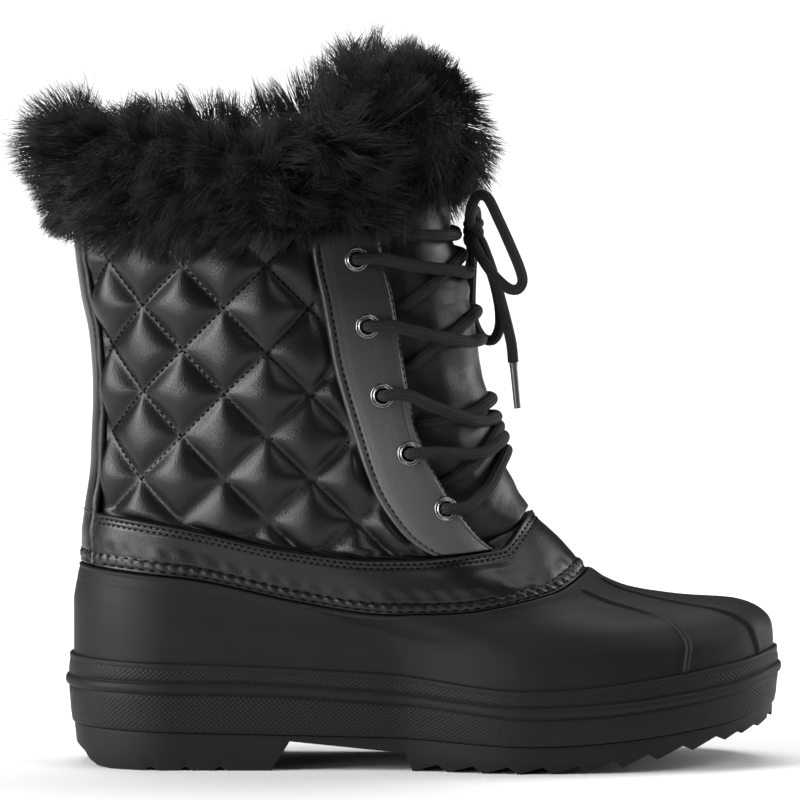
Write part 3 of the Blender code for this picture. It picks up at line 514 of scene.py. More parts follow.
STATIONS = (0.0, .20, .45, .66, .93, 1.0)
MEDIAL_FULLNESS = {"heel": .95, "waist": .85, "ball": .94}
# Throat: level and half width. Eyestay: level and rear edge. Eyelets from the top down: level and share.
THROAT = ((8.0, .165), (8.4, .205), (9.0, .253), (10.0, .290), (12.0, .295), (14.0, .285))
EYESTAY = ((8.0, .700), (8.5, .648), (9.1, .613), (9.8, .597), (11.0, .575), (12.2, .573), (14.0, .585))
EYELETS = ((12.75, .652), (11.45, .645), (10.32, .655), (9.55, .687), (8.78, .736))
UPPER_WALL = 3.0
FACET_GAP = 0.55
OVERLAY_WALL = 1.4
SHELL_GAP = 1.15
SHELL_WALL = 2.8
BAND_GAP = 1.6
BAND_WALL = 1.5
CUP_DEPTH = 9.0
SEAT_GAP = 0.3

# %% Point and normal of the last
SMALL_STEP = 1e-3


def ease(t):
    """Smooth step from 0 to 1, level at both ends."""
    t = np.clip(t, 0.0, 1.0)
    return t * t * (3 - 2 * t)


def hump(distance, half_width):
    """Soft ridge: 1 in its middle, falling like a bell to nothing at about twice its half width."""
    return np.exp(-(distance / half_width) ** 2)


def smooth(knots, values, places):
    """Monotone cubic through the knots. Its slope at a knot is the weighted harmonic mean of the rises on
    both sides, or none where they differ in sign. values has one number, or one array like places, a knot."""
    knots = np.asarray(knots, float)
    places = np.clip(np.asarray(places, float), knots[0], knots[-1])
    values = np.asarray(values, float)
    spread = (-1, *[1] * places.ndim)
    values = values.reshape(spread) if values.ndim == 1 else values
    step = np.diff(knots).reshape(spread)
    rise = np.diff(values, axis=0) / step
    before = 2 * step[1:] + step[:-1]
    after = step[1:] + 2 * step[:-1]
    agree = rise[:-1] * rise[1:] > 0
    mean = (before + after) / (before / np.where(agree, rise[:-1], 1) + after / np.where(agree, rise[1:], 1))
    slope = np.concatenate([rise[:1], np.where(agree, mean, 0.0), rise[-1:]])
    cell = np.clip(np.searchsorted(knots, places, side="right") - 1, 0, len(knots) - 2)

    def pick(table, index):
        table = np.broadcast_to(table, (len(table), *places.shape))
        return np.take_along_axis(table, index[None], axis=0)[0]

    width = np.diff(knots)[cell]
    t = (places - knots[cell]) / width
    return (
        pick(values, cell) * (1 + 2 * t) * (1 - t) ** 2
        + pick(values, cell + 1) * t * t * (3 - 2 * t)
        + pick(slope, cell) * width * t * (1 - t) ** 2
        - pick(slope, cell + 1) * width * t * t * (1 - t)
    )


def table_value(table, level):
    """Second column of a two-column table, read smoothly at a level."""
    knots, values = np.array(table).T
    return smooth(knots, values, level)


def last_value(name, level):
    return smooth(np.arange(len(LAST_ROWS)), LAST_ROWS[:, LAST_COLUMNS.index(name)], level)


def last_point(share, level):
    """Point of the last. Along a level line, x runs from back to front like a cosine, so that points crowd at
    both ends; the half width is a blend of heel, waist and ball, rounded off at both ends by a quarter
    ellipse; the height is a blend of the level's six heights."""
    share, level = np.broadcast_arrays(np.asarray(share, float), np.asarray(level, float))
    share = (share + 1) % 2 - 1
    run = (1 - np.cos(math.pi * share)) / 2
    back = last_value("back", level) * SOLE_LENGTH
    length = last_value("front", level) * SOLE_LENGTH - back
    from_back = np.clip(run * length / last_value("round_back", level), 0, 1)
    from_front = np.clip((1 - run) * length / last_value("round_front", level), 0, 1)
    ends = np.sqrt(1 - (1 - from_back) ** 2) * np.sqrt(1 - (1 - from_front) ** 2)
    on_foot = 1 - ease((level - LEVEL["rim"]) / 4)
    inner_side = share > 0
    heel, waist, ball = (
        last_value(name, level) * BALL_WIDTH / 2 * (1 - on_foot * (1 - fullness) * inner_side)
        for name, fullness in MEDIAL_FULLNESS.items()
    )
    width = smooth(STATIONS, np.stack([heel, heel, waist, ball, ball, ball]), run)
    lean = last_value("y_front", level) * ease((run - .4) / .6)
    heights = np.stack([last_value(name, level) for name in LAST_COLUMNS if name.startswith("up_")])
    up = smooth(STATIONS, heights, run)
    return np.stack([back + run * length, np.where(inner_side, 1, -1) * width * ends + lean, up], axis=-1)


def outward(share, level):
    """Unit normal of the last, square to a small step around it and a small step up it."""
    share, level = np.broadcast_arrays(np.asarray(share, float), np.asarray(level, float))
    low = np.clip(level - SMALL_STEP, 0, len(LAST) - 1 - 2 * SMALL_STEP)
    around = last_point(share + SMALL_STEP, level) - last_point(share - SMALL_STEP, level)
    rising = last_point(share, low + 2 * SMALL_STEP) - last_point(share, low)
    return unit(np.cross(rising, around))


def off_last(share, level, proud, lift=0.0):
    """Point that stands proud of the last by some millimetres along its normal, then lifted straight up."""
    share, level, proud, lift = np.broadcast_arrays(share, level, proud, lift)
    point = last_point(share, level) + outward(share, level) * proud[..., None]
    point[..., 2] += lift
    return point


def throat_half(level):
    """Half the open width of the throat, as a share of the way from heel to front."""
    return table_value(THROAT, level)


def around_mm(share, level):
    """Millimetres around the boot for each unit of share, at these places."""
    around = last_point(share + SMALL_STEP, level) - last_point(share - SMALL_STEP, level)
    return np.linalg.norm(around, axis=-1) / (2 * SMALL_STEP)


def from_edges(grid, axis):
    """Way from the first and from the last line of a grid, summed up step by step along one of its axes."""
    step = np.linalg.norm(np.diff(grid, axis=axis), axis=-1)
    first = np.cumsum(np.insert(step, 0, 0.0, axis=axis), axis=axis)
    return first, np.take(first, [-1], axis=axis) - first


def closed_wall(outer, inner, ring_rows, kept=None):
    """Points and quads of a wall between two grids, closed along its rims, and how many quads face out.

    In a ring row the last column is the first one. kept says which cells of the grid are there; wherever a
    kept cell meets a missing one or the grid's end, a quad joins the two faces.
    """
    rows, columns = outer.shape[:2]
    front = np.arange(rows * columns).reshape(rows, columns)
    front[ring_rows, -1] = front[ring_rows, 0]
    back = front + rows * columns
    kept = np.full((rows - 1, columns - 1), True) if kept is None else kept
    rings = ring_rows[:-1] & ring_rows[1:]
    below = np.pad(kept, ((1, 0), (0, 0)))
    above = np.pad(kept, ((0, 1), (0, 0)))
    before = np.concatenate([kept[:, -1:] & rings[:, None], kept], axis=1)
    after = np.concatenate([kept, kept[:, :1] & rings[:, None]], axis=1)
    level_rim = np.stack([front[:, 1:], front[:, :-1], back[:, :-1], back[:, 1:]], axis=-1)
    side_rim = np.stack([front[:-1], front[1:], back[1:], back[:-1]], axis=-1)
    outer_faces = grid_quads(front)[kept.ravel()]
    faces = [
        outer_faces,
        grid_quads(back)[kept.ravel()][:, ::-1],
        level_rim[above & ~below],
        level_rim[below & ~above][:, ::-1],
        side_rim[after & ~before],
        side_rim[before & ~after][:, ::-1],
    ]
    points = np.concatenate([outer.reshape(-1, 3), inner.reshape(-1, 3)])
    return points, np.concatenate(faces), len(outer_faces)


def sleeve(outer, inner):
    """Points and quads of a closed ring: up the rows of an outer grid, then down the rows of an inner one."""
    grid = np.concatenate([outer, inner[::-1], outer[:1]])
    return grid.reshape(-1, 3), grid_quads(numbered(grid))


def clear_of_eyelets(face, radius):
    """Which cells of a grid lie outside this radius of every eyelet's middle."""
    cell = (face[:-1, :-1] + face[1:, :-1] + face[1:, 1:] + face[:-1, 1:]) / 4
    level, share = np.array(EYELETS).T
    middles = last_point(np.concatenate([share, -share]), np.concatenate([level, level]))
    return (np.linalg.norm(cell[..., None, :] - middles, axis=-1) > radius).all(axis=-1)


half_way = np.linspace(0, 1, 400)
print("half way around the collar, mm:", round(float(around_mm(half_way, LEVEL["collar"]).mean())))

# %% [markdown]
# ## Quilted upper
#
# The upper is one hollow wall. Its shaft is black coated cloth over foam, sewn through in diamonds of about
# 34 mm, so that each diamond is a soft four-sided pillow with sharp valleys at the stitches. The pillows are
# worked out in the panel's own flat measure, millimetres around and up: two slanting coordinates count the
# seams, and the height of a pillow is a soft minimum of the distances to its two nearest seams. That gives
# the straight ridges that run out to each pillow's corners. The inside is a fleece lining.

# %% Leather and lining finishes


def grained(material, scale, strength, crease_strength, rough_low, rough_high):
    """Fine pebbled grain from cells, shallow creases from stretched noise, and a gloss that wanders."""
    place = object_place(material)
    cells = node(material, "ShaderNodeTexVoronoi", [("Vector", place), ("Scale", scale)], feature="F1")
    crease = noise(material, place, 170.0, Detail=5.0, Roughness=0.62, Distortion=0.6)
    cloud = noise(material, place, 45.0, Detail=3.0)
    bumped(material, [(crease, crease_strength, 0.0009), (cells.outputs["Distance"], strength, 0.0002)])
    into_shader(material, "Roughness", ramp(material, cloud, rough_low, rough_high))
    return material


def make_fleece(name, colour):
    """Curly pile: tufts from cells and curls from noise, both as bump."""
    material = finish(name, colour, 0.95, Specular_IOR_Level=0.2, Sheen_Weight=0.3)
    place = object_place(material)
    curls = noise(material, place, 420.0, Detail=6.0)
    tufts = node(material, "ShaderNodeTexVoronoi", [("Vector", place), ("Scale", 260.0)])
    bumped(material, [(tufts.outputs["Distance"], 0.9, 0.0015), (curls, 0.8, 0.0008)])
    return material


QUILT = grained(finish("quilt_leather", (0.003, 0.003, 0.0032), 0.38, Specular_IOR_Level=0.40),
                1700.0, 0.42, 0.05, 0.33, 0.43)
FLEECE = make_fleece("fleece_lining", (0.022, 0.022, 0.023))
THREAD = finish("sewing_thread", (0.003, 0.003, 0.003), 0.7, Specular_IOR_Level=0.05)
thread_twist = node(THREAD, "ShaderNodeTexWave", [("Vector", object_place(THREAD)), ("Scale", 900.0)],
                    bands_direction="DIAGONAL")
bumped(THREAD, [(thread_twist.outputs["Fac"], 0.5, 0.0002)])

# %% Quilt measure
QUILT_WIDE = 34.4
QUILT_HIGH = 33.6
QUILT_ORIGIN_X = 61.4
QUILT_ORIGIN_Z = 113.9
PILLOW_HEIGHT = 5.2
SEAM_DEPTH = 1.7
SEAM_HALF = .018
BACKSTAY_HALF = .100
PANEL_FADE = .022


def panel_distance(share, level):
    """Signed millimetres around the boot from the upright line through the quilt's origin, on each side.

    Each row of the grid is one level line: its points are summed up step by step, and the sum at the
    origin's x is taken off.
    """
    point = last_point(share, level)
    run, _ = from_edges(point[..., :2], axis=1)
    distance = np.empty_like(run)
    for side in (-1, 1):
        half = share[0] * side >= 0
        start = [np.interp(QUILT_ORIGIN_X, *ordered(row_x[half], row_run[half]))
                 for row_x, row_run in zip(point[..., 0], run)]
        distance[:, half] = (run[:, half] - np.array(start)[:, None]) * side
    return distance, point


def ordered(x, run):
    """The same pairs sorted by x, as np.interp wants them."""
    order = np.argsort(x)
    return x[order], run[order]


def seam_counts(distance, height):
    """The two slanting coordinates of the quilt, whole numbers on its seams."""
    across = distance / QUILT_WIDE
    up = (height - QUILT_ORIGIN_Z) / QUILT_HIGH
    return across + up, across - up


def seam_rise(count):
    """Sine hump over one slanting coordinate, from just over 0 on its seams to 1 half way between them."""
    from_seam = np.abs(count - np.round(count)) - SEAM_HALF
    return np.sin(math.pi / 2 * np.clip(from_seam / (.5 - SEAM_HALF), 0, 1)) + 1e-3


def pillow(distance, height):
    """Height of the quilt over its seams: of the humps over both slanting coordinates the soft minimum, which
    is one over the root of the summed inverse squares. Pillows differ a little, and each sags to one side."""
    first, second = seam_counts(distance, height)
    soft_minimum = math.sqrt(2) / np.sqrt(seam_rise(first) ** -2 + seam_rise(second) ** -2)
    uneven = 1 + .10 * np.sin(12.9 * np.floor(first) + 7.3 * np.floor(second))
    sag = .10 * np.sin(2 * math.pi * (first - second) / 2 + 1.1) * soft_minimum
    return PILLOW_HEIGHT * (soft_minimum * uneven + sag) - SEAM_DEPTH


def quilt_fade(share, level):
    """1 in the open panel, falling to 0 where it is sewn down at facing, back strip and band."""
    rear = table_value(EYESTAY, level)
    at_facing = ease((rear + .004 - np.abs(share)) / PANEL_FADE)
    at_back = ease((np.abs(share) - BACKSTAY_HALF + .004) / PANEL_FADE)
    at_band = ease((level - 7.98) / .14)
    return at_facing * at_back * at_band


# %% Upper wall
SHAFT_COLUMNS = 300
SHAFT_STEP = 1.5
SHAFT_FOOT = 99.0
SHAFT_TOP = 238.0
UPPER_HOLE = 4.6
LINING_PILE = .3


def level_at(height):
    """Level whose line passes through this height at the back of the shaft."""
    levels = np.linspace(7.9, LEVEL["collar"], 400)
    return np.interp(height, last_value("up_back", levels), levels)


def stand_in_cup(share, *grids):
    """Sets the first row of each grid on the floor of the sole's cup."""
    cup_floor = last_point(share[0], LEVEL["feather"])[:, 2] - CUP_DEPTH + FACET_GAP
    for grid in grids:
        grid[0, :, 2] = cup_floor


low_levels = np.array([0, .6, 1.5, 2.5, 3.5, 4.5, 5.5, 6.5, 7.4])
shaft_levels = level_at(np.arange(SHAFT_FOOT, SHAFT_TOP, SHAFT_STEP))
levels = np.concatenate([low_levels, shaft_levels, [LEVEL["collar"]]])
half = np.where(levels < LEVEL["band_top"], 0.0, throat_half(levels))
share = np.linspace(-1, 1, SHAFT_COLUMNS) * (1 - half)[:, None]
level_grid = np.broadcast_to(levels[:, None], share.shape)
distance, base = panel_distance(share, level_grid)
relief = quilt_fade(share, level_grid) * pillow(distance, base[..., 2])
outer = off_last(share, level_grid, relief)
inner = off_last(share, level_grid, -UPPER_WALL - LINING_PILE)
stand_in_cup(share, outer, inner)
kept = clear_of_eyelets(base, UPPER_HOLE)
points, faces, facing_out = closed_wall(outer, inner, levels < LEVEL["band_top"], kept)
upper = add_piece("upper", points, faces, [QUILT, FLEECE],
                  finish_of_face=np.arange(len(faces)) >= facing_out)
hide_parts("upper")

# %% [markdown]
# ## Rubber shell
#
# The foot of the boot is one dull rubber moulding: a smooth wall with a flat strip along its rim, faint
# mould lines around the heel, and three narrow welts that run from the rim over the toe down to the sole.
# A welt only stays crisp if the mesh runs along it, so each welt gets its own close columns and the rest of
# the columns share the way between the welts.

# %% Rubber finishes
HATCH_PITCH = 1.25
HATCH_ANGLES = (0.85, -0.95)
WAVE_TURN = 2 * math.pi / 20


def make_rubber(name, hatched=False):
    """Matte rubber: dust in the colour and the gloss, fine pores, and for the sidewall a crossed hatch."""
    material = finish(name, (0.010, 0.010, 0.0102), 0.55, Specular_IOR_Level=0.20)
    place = object_place(material)
    dust = noise(material, place, 38.0, Detail=7.0)
    pores = noise(material, place, 1500.0, Detail=2.0)
    two_tone(material, dust, (0.0075, 0.0075, 0.0076), (0.0135, 0.0135, 0.0136))
    into_shader(material, "Roughness", ramp(material, dust, 0.48, 0.64))
    heights = [(pores, 0.15, 0.0002)]
    if hatched:
        flat = node(material, "ShaderNodeUVMap").outputs["UV"]
        lines = []
        for angle in HATCH_ANGLES:
            turned = node(material, "ShaderNodeMapping", [("Vector", flat), ("Rotation", (0, 0, angle))])
            wave = node(material, "ShaderNodeTexWave",
                        [("Vector", turned.outputs["Vector"]), ("Scale", WAVE_TURN / HATCH_PITCH)])
            lines.append(wave.outputs["Fac"])
        crossed = node(material, "ShaderNodeMath", enumerate(lines), operation="ADD")
        heights.append((crossed.outputs["Value"], 0.4, 0.0003))
    bumped(material, heights)
    return material


RUBBER = make_rubber("shell_rubber")
RUBBER_HATCH = make_rubber("hatched_rubber", hatched=True)

# %% Shell with its welts
# Each row: a level and the shares of the lateral, centre and medial welt there.
RIBS = (
    (0.0, -.765, -.905, .815),
    (1.0, -.770, -.905, .820),
    (2.0, -.780, -.900, .825),
    (3.0, -.803, -.900, .845),
    (4.0, -.842, -.920, .880),
    (5.0, -.868, -.945, .905),
    (6.0, -.890, -.965, .920),
)
WELT_RISE = 1.15
WELT_ACROSS = np.array([-2.2, -1.5, -1.15, -.95, -.75, -.35, 0, .35, .75, .95, 1.15, 1.5, 2.2])
WELT_SHAPE = np.array([0, .02, .12, .5, .9, 1, 1, 1, .9, .5, .12, .02, 0])
SHELL_ROWS = 56
SHELL_BETWEEN = (20, 160, 20)
INNER_STEP = 5
RIM_STRIP = .30
RIM_LEVELS = (5.9, 5.95, 5.98, 6.0, 6.01)
RIM_ROUND = (0, .15, .45, .95, 1.9)
TOE_FULLNESS = 1.4


def welt_columns(level):
    """Shares of the columns around the foot at each level, and the welt's height at each column."""
    knots, *welts = np.array(RIBS).T
    lateral, centre, medial = (smooth(knots, welt, level) for welt in welts)
    stops = [centre, lateral, medial, centre + 2]
    columns = []
    heights = []
    for index, stop in enumerate(stops):
        around = stop[:, None] + WELT_ACROSS / around_mm(stop, level)[:, None]
        if index:
            count = SHELL_BETWEEN[index - 1] + 1
            t = np.arange(1, count) / count
            columns.append(columns[-1][:, -1:] * (1 - t) + around[:, :1] * t)
            heights.append(np.zeros(count - 1))
        columns.append(around)
        heights.append(WELT_SHAPE)
    middle = len(WELT_ACROSS) // 2
    columns = np.concatenate(columns, axis=1)[:, middle:-middle]
    return columns, np.concatenate(heights)[middle:-middle]


def heel_lines(share, level):
    """Two faint mould lines around the heel, each a thin trough that fades out along the side."""
    lower = hump(level - 4.38 - .5 * np.abs(share), .035) * ease((.46 - np.abs(share)) / .12)
    upper_line = hump(level - 5.42 - .1 * np.abs(share), .03) * ease((.34 - np.abs(share)) / .1)
    return .28 * lower + .14 * upper_line


wall_levels = np.linspace(LEVEL["feather"], RIM_LEVELS[0], SHELL_ROWS)
shell_levels = np.concatenate([np.linspace(0, LEVEL["feather"], 6)[:-1], wall_levels, RIM_LEVELS[1:]])
share, welt = welt_columns(shell_levels)
level_grid = np.broadcast_to(shell_levels[:, None], share.shape)
strip_foot = LEVEL["rim"] - RIM_STRIP
welt_fade = ease((shell_levels - .9) / .3) * ease((strip_foot - shell_levels) / .05)
rim_strip = .35 * ease((shell_levels - strip_foot) / .04)
rim_round = np.interp(shell_levels, RIM_LEVELS, RIM_ROUND)
toe_full = TOE_FULLNESS * hump(level_grid - 2.4, .8) * ease((np.abs((share + 1) % 2 - 1) - .80) / .14)
proud = (SHELL_GAP + SHELL_WALL + WELT_RISE * welt * welt_fade[:, None] + (rim_strip - rim_round)[:, None]
         + toe_full)
outer = off_last(share, level_grid, proud - heel_lines(share, level_grid))
inner = off_last(share, level_grid, SHELL_GAP)
stand_in_cup(share, outer, inner)
points, faces = sleeve(outer, np.concatenate([inner[:-1:INNER_STEP], inner[-1:]]))
shell = add_piece("rubber_shell", points, faces, RUBBER)
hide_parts("rubber_shell")

# %% [markdown]
# ## Sole
#
# The sidewall is a thick rubber band glued around the shell: a round rib along its middle, a groove on
# each side of the rib, and two bands of fine moulded cross-hatch. Its profile is carried around the foot
# like a moulding around a room. The tread under it is a block whose underside is cut to the side view of
# heel, arch and lugs, as in the solids, and then gets small rounded edges.

# %% Sidewall
LOWER_EDGE = (16.0, 14.7, 13.2, 10.8, 17.5, 23.0)
MIDDLE_RIB = (32.8, 32.6, 29.0, 24.3, 31.0, 37.0)
SOLE_COLUMNS = 420
ROOM = SHELL_GAP + SHELL_WALL + SEAT_GAP


def bead(place, middle, half, base, rise, count=9):
    """Rows across a round bead, half an ellipse: place on the wall, lift and outset in mm, and no hatch."""
    turns = np.linspace(0, math.pi, count)
    return [(place, middle - half * math.cos(turn), base + rise * math.sin(turn), False) for turn in turns]


WALL_COLUMNS = ("place", "lift", "outset", "hatched_above")
WALL_PROFILE = [
    (0.0, 0.0, 3.8, False),
    (0.0, 0.1, 4.3, False),
    (0.0, 0.5, 4.6, False),
    (0.0, 1.2, 4.7, False),
    (0.0, 1.35, 4.75, True),
    (0.25, 0.0, 5.15, True),
    (0.5, 0.0, 5.45, True),
    (0.75, -1.0, 5.75, True),
    (1.0, -3.2, 5.85, False),
    (1.0, -3.0, 5.75, False),
    (1.0, -2.7, 5.6, False),
    (1.0, -2.4, 5.6, False),
    *bead(1.0, -.2, 2.15, 5.7, 1.5),
    (1.0, 2.05, 5.6, False),
    (1.0, 2.3, 5.6, False),
    (1.0, 2.6, 5.75, False),
    (1.0, 2.85, 5.95, True),
    (1.3, 1.6, 5.85, True),
    (1.6, 0.4, 5.65, True),
    (2.0, -2.5, 5.5, False),
    (2.0, -2.3, 5.42, False),
    *bead(2.0, -1.2, 1.0, 5.38, .18, 7),
    (2.0, 0.0, 4.9, False),
    (2.0, 0.15, ROOM, False),
]


def edge_height(row, share):
    """Height of an edge line of the sole at each share, from its six heights along the boot."""
    return smooth(STATIONS, row, (1 - np.cos(math.pi * share)) / 2)


def level_out(share):
    """Level direction away from the last at its feather line."""
    normal = outward(share, LEVEL["feather"])
    normal[..., 2] = 0
    return unit(normal)


sole_share = np.linspace(-1, 1, SOLE_COLUMNS + 1)
feather = last_point(sole_share, LEVEL["feather"])
sole_out = level_out(sole_share)
edges = np.stack([edge_height(LOWER_EDGE, sole_share), edge_height(MIDDLE_RIB, sole_share), feather[:, 2]])
rows = []
for place, lift, outset, _ in WALL_PROFILE:
    row = feather + sole_out * outset
    low = min(int(place), 1)
    row[:, 2] = edges[low] + (edges[low + 1] - edges[low]) * (place - low) + lift
    rows.append(row)
cup = off_last(sole_share, LEVEL["bed"], ROOM)
cup[:, 2] = feather[:, 2] - CUP_DEPTH - SEAT_GAP
rows.append(cup)
grid = np.stack(rows)


def loop_caps(number):
    """Quads that close a loop by strips across, from each point to the one opposite on the other side."""
    count = len(number) - 1
    first = np.arange(1, count // 2)
    opposite = count - first
    return np.stack([number[first - 1], number[first], number[opposite], number[opposite + 1]], axis=-1)


def mould(name, grid, finishes, hatched=None):
    """Closed ring-shaped moulding from rows of loops, its first and last loop capped across, mapped in mm."""
    number = numbered(grid)
    sides = grid_quads(number)
    low = loop_caps(number[0])
    high = loop_caps(number[-1])[:, ::-1]
    upward = from_edges(grid, axis=0)[0].mean(axis=1)
    uv = np.stack(np.broadcast_arrays(run_along(grid[0])[None], upward[:, None]), axis=-1).reshape(-1, 2)
    pick = np.zeros(len(sides) + len(low) + len(high), int)
    if hatched is not None:
        pick[:len(sides)] = np.repeat(hatched, grid.shape[1] - 1)
    return add_piece(name, grid.reshape(-1, 3), np.concatenate([sides, low, high]), finishes, uv, pick)


hatched_rows = np.array([row[WALL_COLUMNS.index("hatched_above")] for row in WALL_PROFILE])
foxing = mould("foxing", grid, [RUBBER, RUBBER_HATCH], hatched_rows)
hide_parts("foxing")

# %% Tread
TREAD_BLOCK = ((3.6, 1.0, 0.0), (3.7, .93, 0.0), (2.9, .5, 0.0), (1.6, 0.0, 8.0))
TREAD_ENVELOPE = (
    (133, 0), (196, 0), (217, 2.4), (230, 5.0), (244, 8.0), (256, 11.0), (268, 14.4), (282, 19.5),
)
HEEL_CORNER = ((7.0, 5.5), (9.0, 2.6), (12.0, .8), (17.0, 0.0))
HEEL_BREAST_FOOT = 80.0
HEEL_BREAST_TOP = 87.0
HEEL_NOTCHES = (33.0, 46.5, 60.0)
HEEL_NOTCH_WIDTH = 6.0
HEEL_NOTCH_DEPTH = 1.6
ARCH_HEIGHT = 11.6
ARCH_END = 132.0
ARCH_END_HEIGHT = 7.0
LUG_PLACES = (134.7, 148.3, 161.9, 175.5, 189.1, 202.7, 216.3, 230.0, 243.6, 256.3, 263.0, 269.5, 275.5)
LUG_DEPTH_SHARE = .20
LUG_SLOPE_SHARE = .72
PAST_ENDS = 40.0
GROOVE_START = 107.0
GROOVE_HALF = 4.5
GROOVE_DEPTH = 2.4
EDGE_ROUND = 0.5
ROUND_FROM = math.radians(38)
SHARP_FROM = math.radians(35)
UNDER_FLOOR = -30.0


def ground_line(x):
    """Height of the tread's ground line at a place along the boot."""
    return float(np.interp(x, *np.array(TREAD_ENVELOPE).T))


def tread_profile():
    """Side view of the ground faces from behind the heel to past the toe, as (x, up) points. Each lug is a
    tooth that starts on the ground line, slopes up along most of its pitch and falls back steeply."""
    profile = [(-PAST_ENDS, PAST_ENDS), *HEEL_CORNER]
    for place in HEEL_NOTCHES:
        half = HEEL_NOTCH_WIDTH / 2
        profile += [(place - half, 0.0), (place, HEEL_NOTCH_DEPTH), (place + half, 0.0)]
    profile += [(HEEL_BREAST_FOOT, 0.0), (HEEL_BREAST_TOP, ARCH_HEIGHT), (ARCH_END, ARCH_END_HEIGHT)]
    for place, following in zip(LUG_PLACES, LUG_PLACES[1:]):
        pitch = following - place
        top = place + pitch * LUG_SLOPE_SHARE
        profile += [(place, ground_line(place)), (top, ground_line(top) + pitch * LUG_DEPTH_SHARE)]
    toe_x, toe_up = TREAD_ENVELOPE[-1]
    return [*profile, (LUG_PLACES[-1], ground_line(LUG_PLACES[-1])), (toe_x + PAST_ENDS, toe_up)]


def profile_plate(profile, half_width):
    """Closed plate under a side view, reaching half_width to each side: the tool that cuts the tread."""
    outline = [*profile, (profile[-1][0], UNDER_FLOOR), (profile[0][0], UNDER_FLOOR)]
    points = np.array([(x, side * half_width, up) for side in (-1, 1) for x, up in outline])
    count = len(outline)
    shape = bmesh.new()
    corners = [shape.verts.new((point + SHIFT) * MM) for point in points]
    shape.faces.new(corners[:count])
    shape.faces.new(corners[count:])
    for j in range(count):
        k = (j + 1) % count
        shape.faces.new((corners[j], corners[k], corners[k + count], corners[j + count]))
    bmesh.ops.recalc_face_normals(shape, faces=shape.faces)
    mesh = bpy.data.meshes.new("plate")
    shape.to_mesh(mesh)
    shape.free()
    plate = bpy.data.objects.new("plate", mesh)
    bpy.context.scene.collection.objects.link(plate)
    return plate


def settle(made):
    """Bakes an object's modifiers into its own mesh."""
    graph = bpy.context.evaluated_depsgraph_get()
    baked = bpy.data.meshes.new_from_object(made.evaluated_get(graph))
    made.modifiers.clear()
    made.data = baked


top = edge_height(LOWER_EDGE, sole_share) - SEAT_GAP
loops = []
for outset, height, drop in TREAD_BLOCK[::-1]:
    loop = feather + sole_out * outset
    loop[:, 2] = top * height - drop
    loops.append(loop)
outsole = mould("outsole", np.stack(loops), RUBBER)
groove = [(GROOVE_START, GROOVE_DEPTH), *((x, up + GROOVE_DEPTH) for x, up in TREAD_ENVELOPE[1:])]
plates = [profile_plate(tread_profile(), BALL_WIDTH), profile_plate(groove, GROOVE_HALF)]
for plate in plates:
    knife = outsole.modifiers.new("knife", "BOOLEAN")
    knife.operation = "DIFFERENCE"
    knife.object = plate
    knife.solver = "EXACT"
rounding = outsole.modifiers.new("rounding", "BEVEL")
rounding.width = EDGE_ROUND * MM
rounding.segments = 2
rounding.limit_method = "ANGLE"
rounding.angle_limit = ROUND_FROM
settle(outsole)
for plate in plates:
    bpy.data.objects.remove(plate)
outsole.data.set_sharp_from_angle(angle=SHARP_FROM)
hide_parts("outsole")
print("tread has", len(outsole.data.polygons), "faces")

# %% Footbed
# Each loop of the footbed: level, and inset and lift in mm.
INSOLE_ROWS = (
    (.02, 3.6, 0.0), (.2, 3.6, 3.2), (.33, 3.9, 3.8), (.35, 5.0, 4.0), (.35, 9.0, 3.9), (.35, 16.0, 3.8),
)
loops = []
for level, inset, lift in INSOLE_ROWS:
    loop = off_last(sole_share[::2], level, -inset)
    loop[:, 2] = feather[::2, 2] - CUP_DEPTH + 2 * FACET_GAP + lift
    loops.append(loop)
insole = mould("insole", np.stack(loops), FLEECE)
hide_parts("insole")

# %% [markdown]
# ## Stitches
#
# Sewing shows as rows of short black thread bridges whose ends dive into the leather. There are about fifteen
# hundred of them, so each row is worked out at once: a path on the surface is cut into even steps, and one
# small spindle is laid along each step. All rows of a seam become one joined mesh.

# %% Stitch helpers
STITCH_SIDES = 5
STITCH_ALONG = np.array([-.5, -.36, 0, .36, .5])
STITCH_RADIUS = np.array([.004, .8, 1.0, .8, .004])
STITCH_SINK = np.array([1.3, .45, 0, .45, 1.3])


def even_places(path, pitch):
    """Places along a path, as fractions of its point numbers, a pitch apart."""
    run = run_along(path)
    return np.interp(np.arange(pitch / 2, run[-1] - pitch / 4, pitch), run, np.arange(len(path)))


def along_path(values, places):
    """Rows of an array read at fractional row numbers."""
    low = np.clip(places.astype(int), 0, len(values) - 2)
    t = (places - low)[:, None]
    return values[low] * (1 - t) + values[low + 1] * t


def stitch_meshes(path, normals, pitch, length, radius):
    """Points and quads of one spindle a pitch, along a path on a surface with these normals."""
    places = even_places(path, pitch)
    middle = along_path(path, places)
    forward = unit(along_path(path, places + .01) - along_path(path, places - .01))
    normal = unit(along_path(normals, places))
    across = np.cross(normal, forward)
    ring = spokes(np.linspace(0, 2 * math.pi, STITCH_SIDES + 1), across, normal)
    spine = (middle[:, None] + forward[:, None] * (STITCH_ALONG * length)[None, :, None]
             - normal[:, None] * (STITCH_SINK * radius)[None, :, None])
    points = spine[:, :, None] + ring[:, None] * (STITCH_RADIUS * radius)[None, :, None, None]
    return points.reshape(-1, 3), grid_quads(numbered(points))


def joined(meshes):
    """One pair of points and faces from several, the face numbers counted on."""
    starts = np.cumsum([0] + [len(points) for points, _ in meshes[:-1]])
    return (np.concatenate([points for points, _ in meshes]),
            np.concatenate([faces + start for (_, faces), start in zip(meshes, starts)]))


def add_seam(name, rows, pitch, length, radius):
    """Thread of one seam: rows of (path, normals) sewn at the same pitch."""
    points, faces = joined([stitch_meshes(path, normals, pitch, length, radius) for path, normals in rows])
    return add_piece(name, points, faces, THREAD)


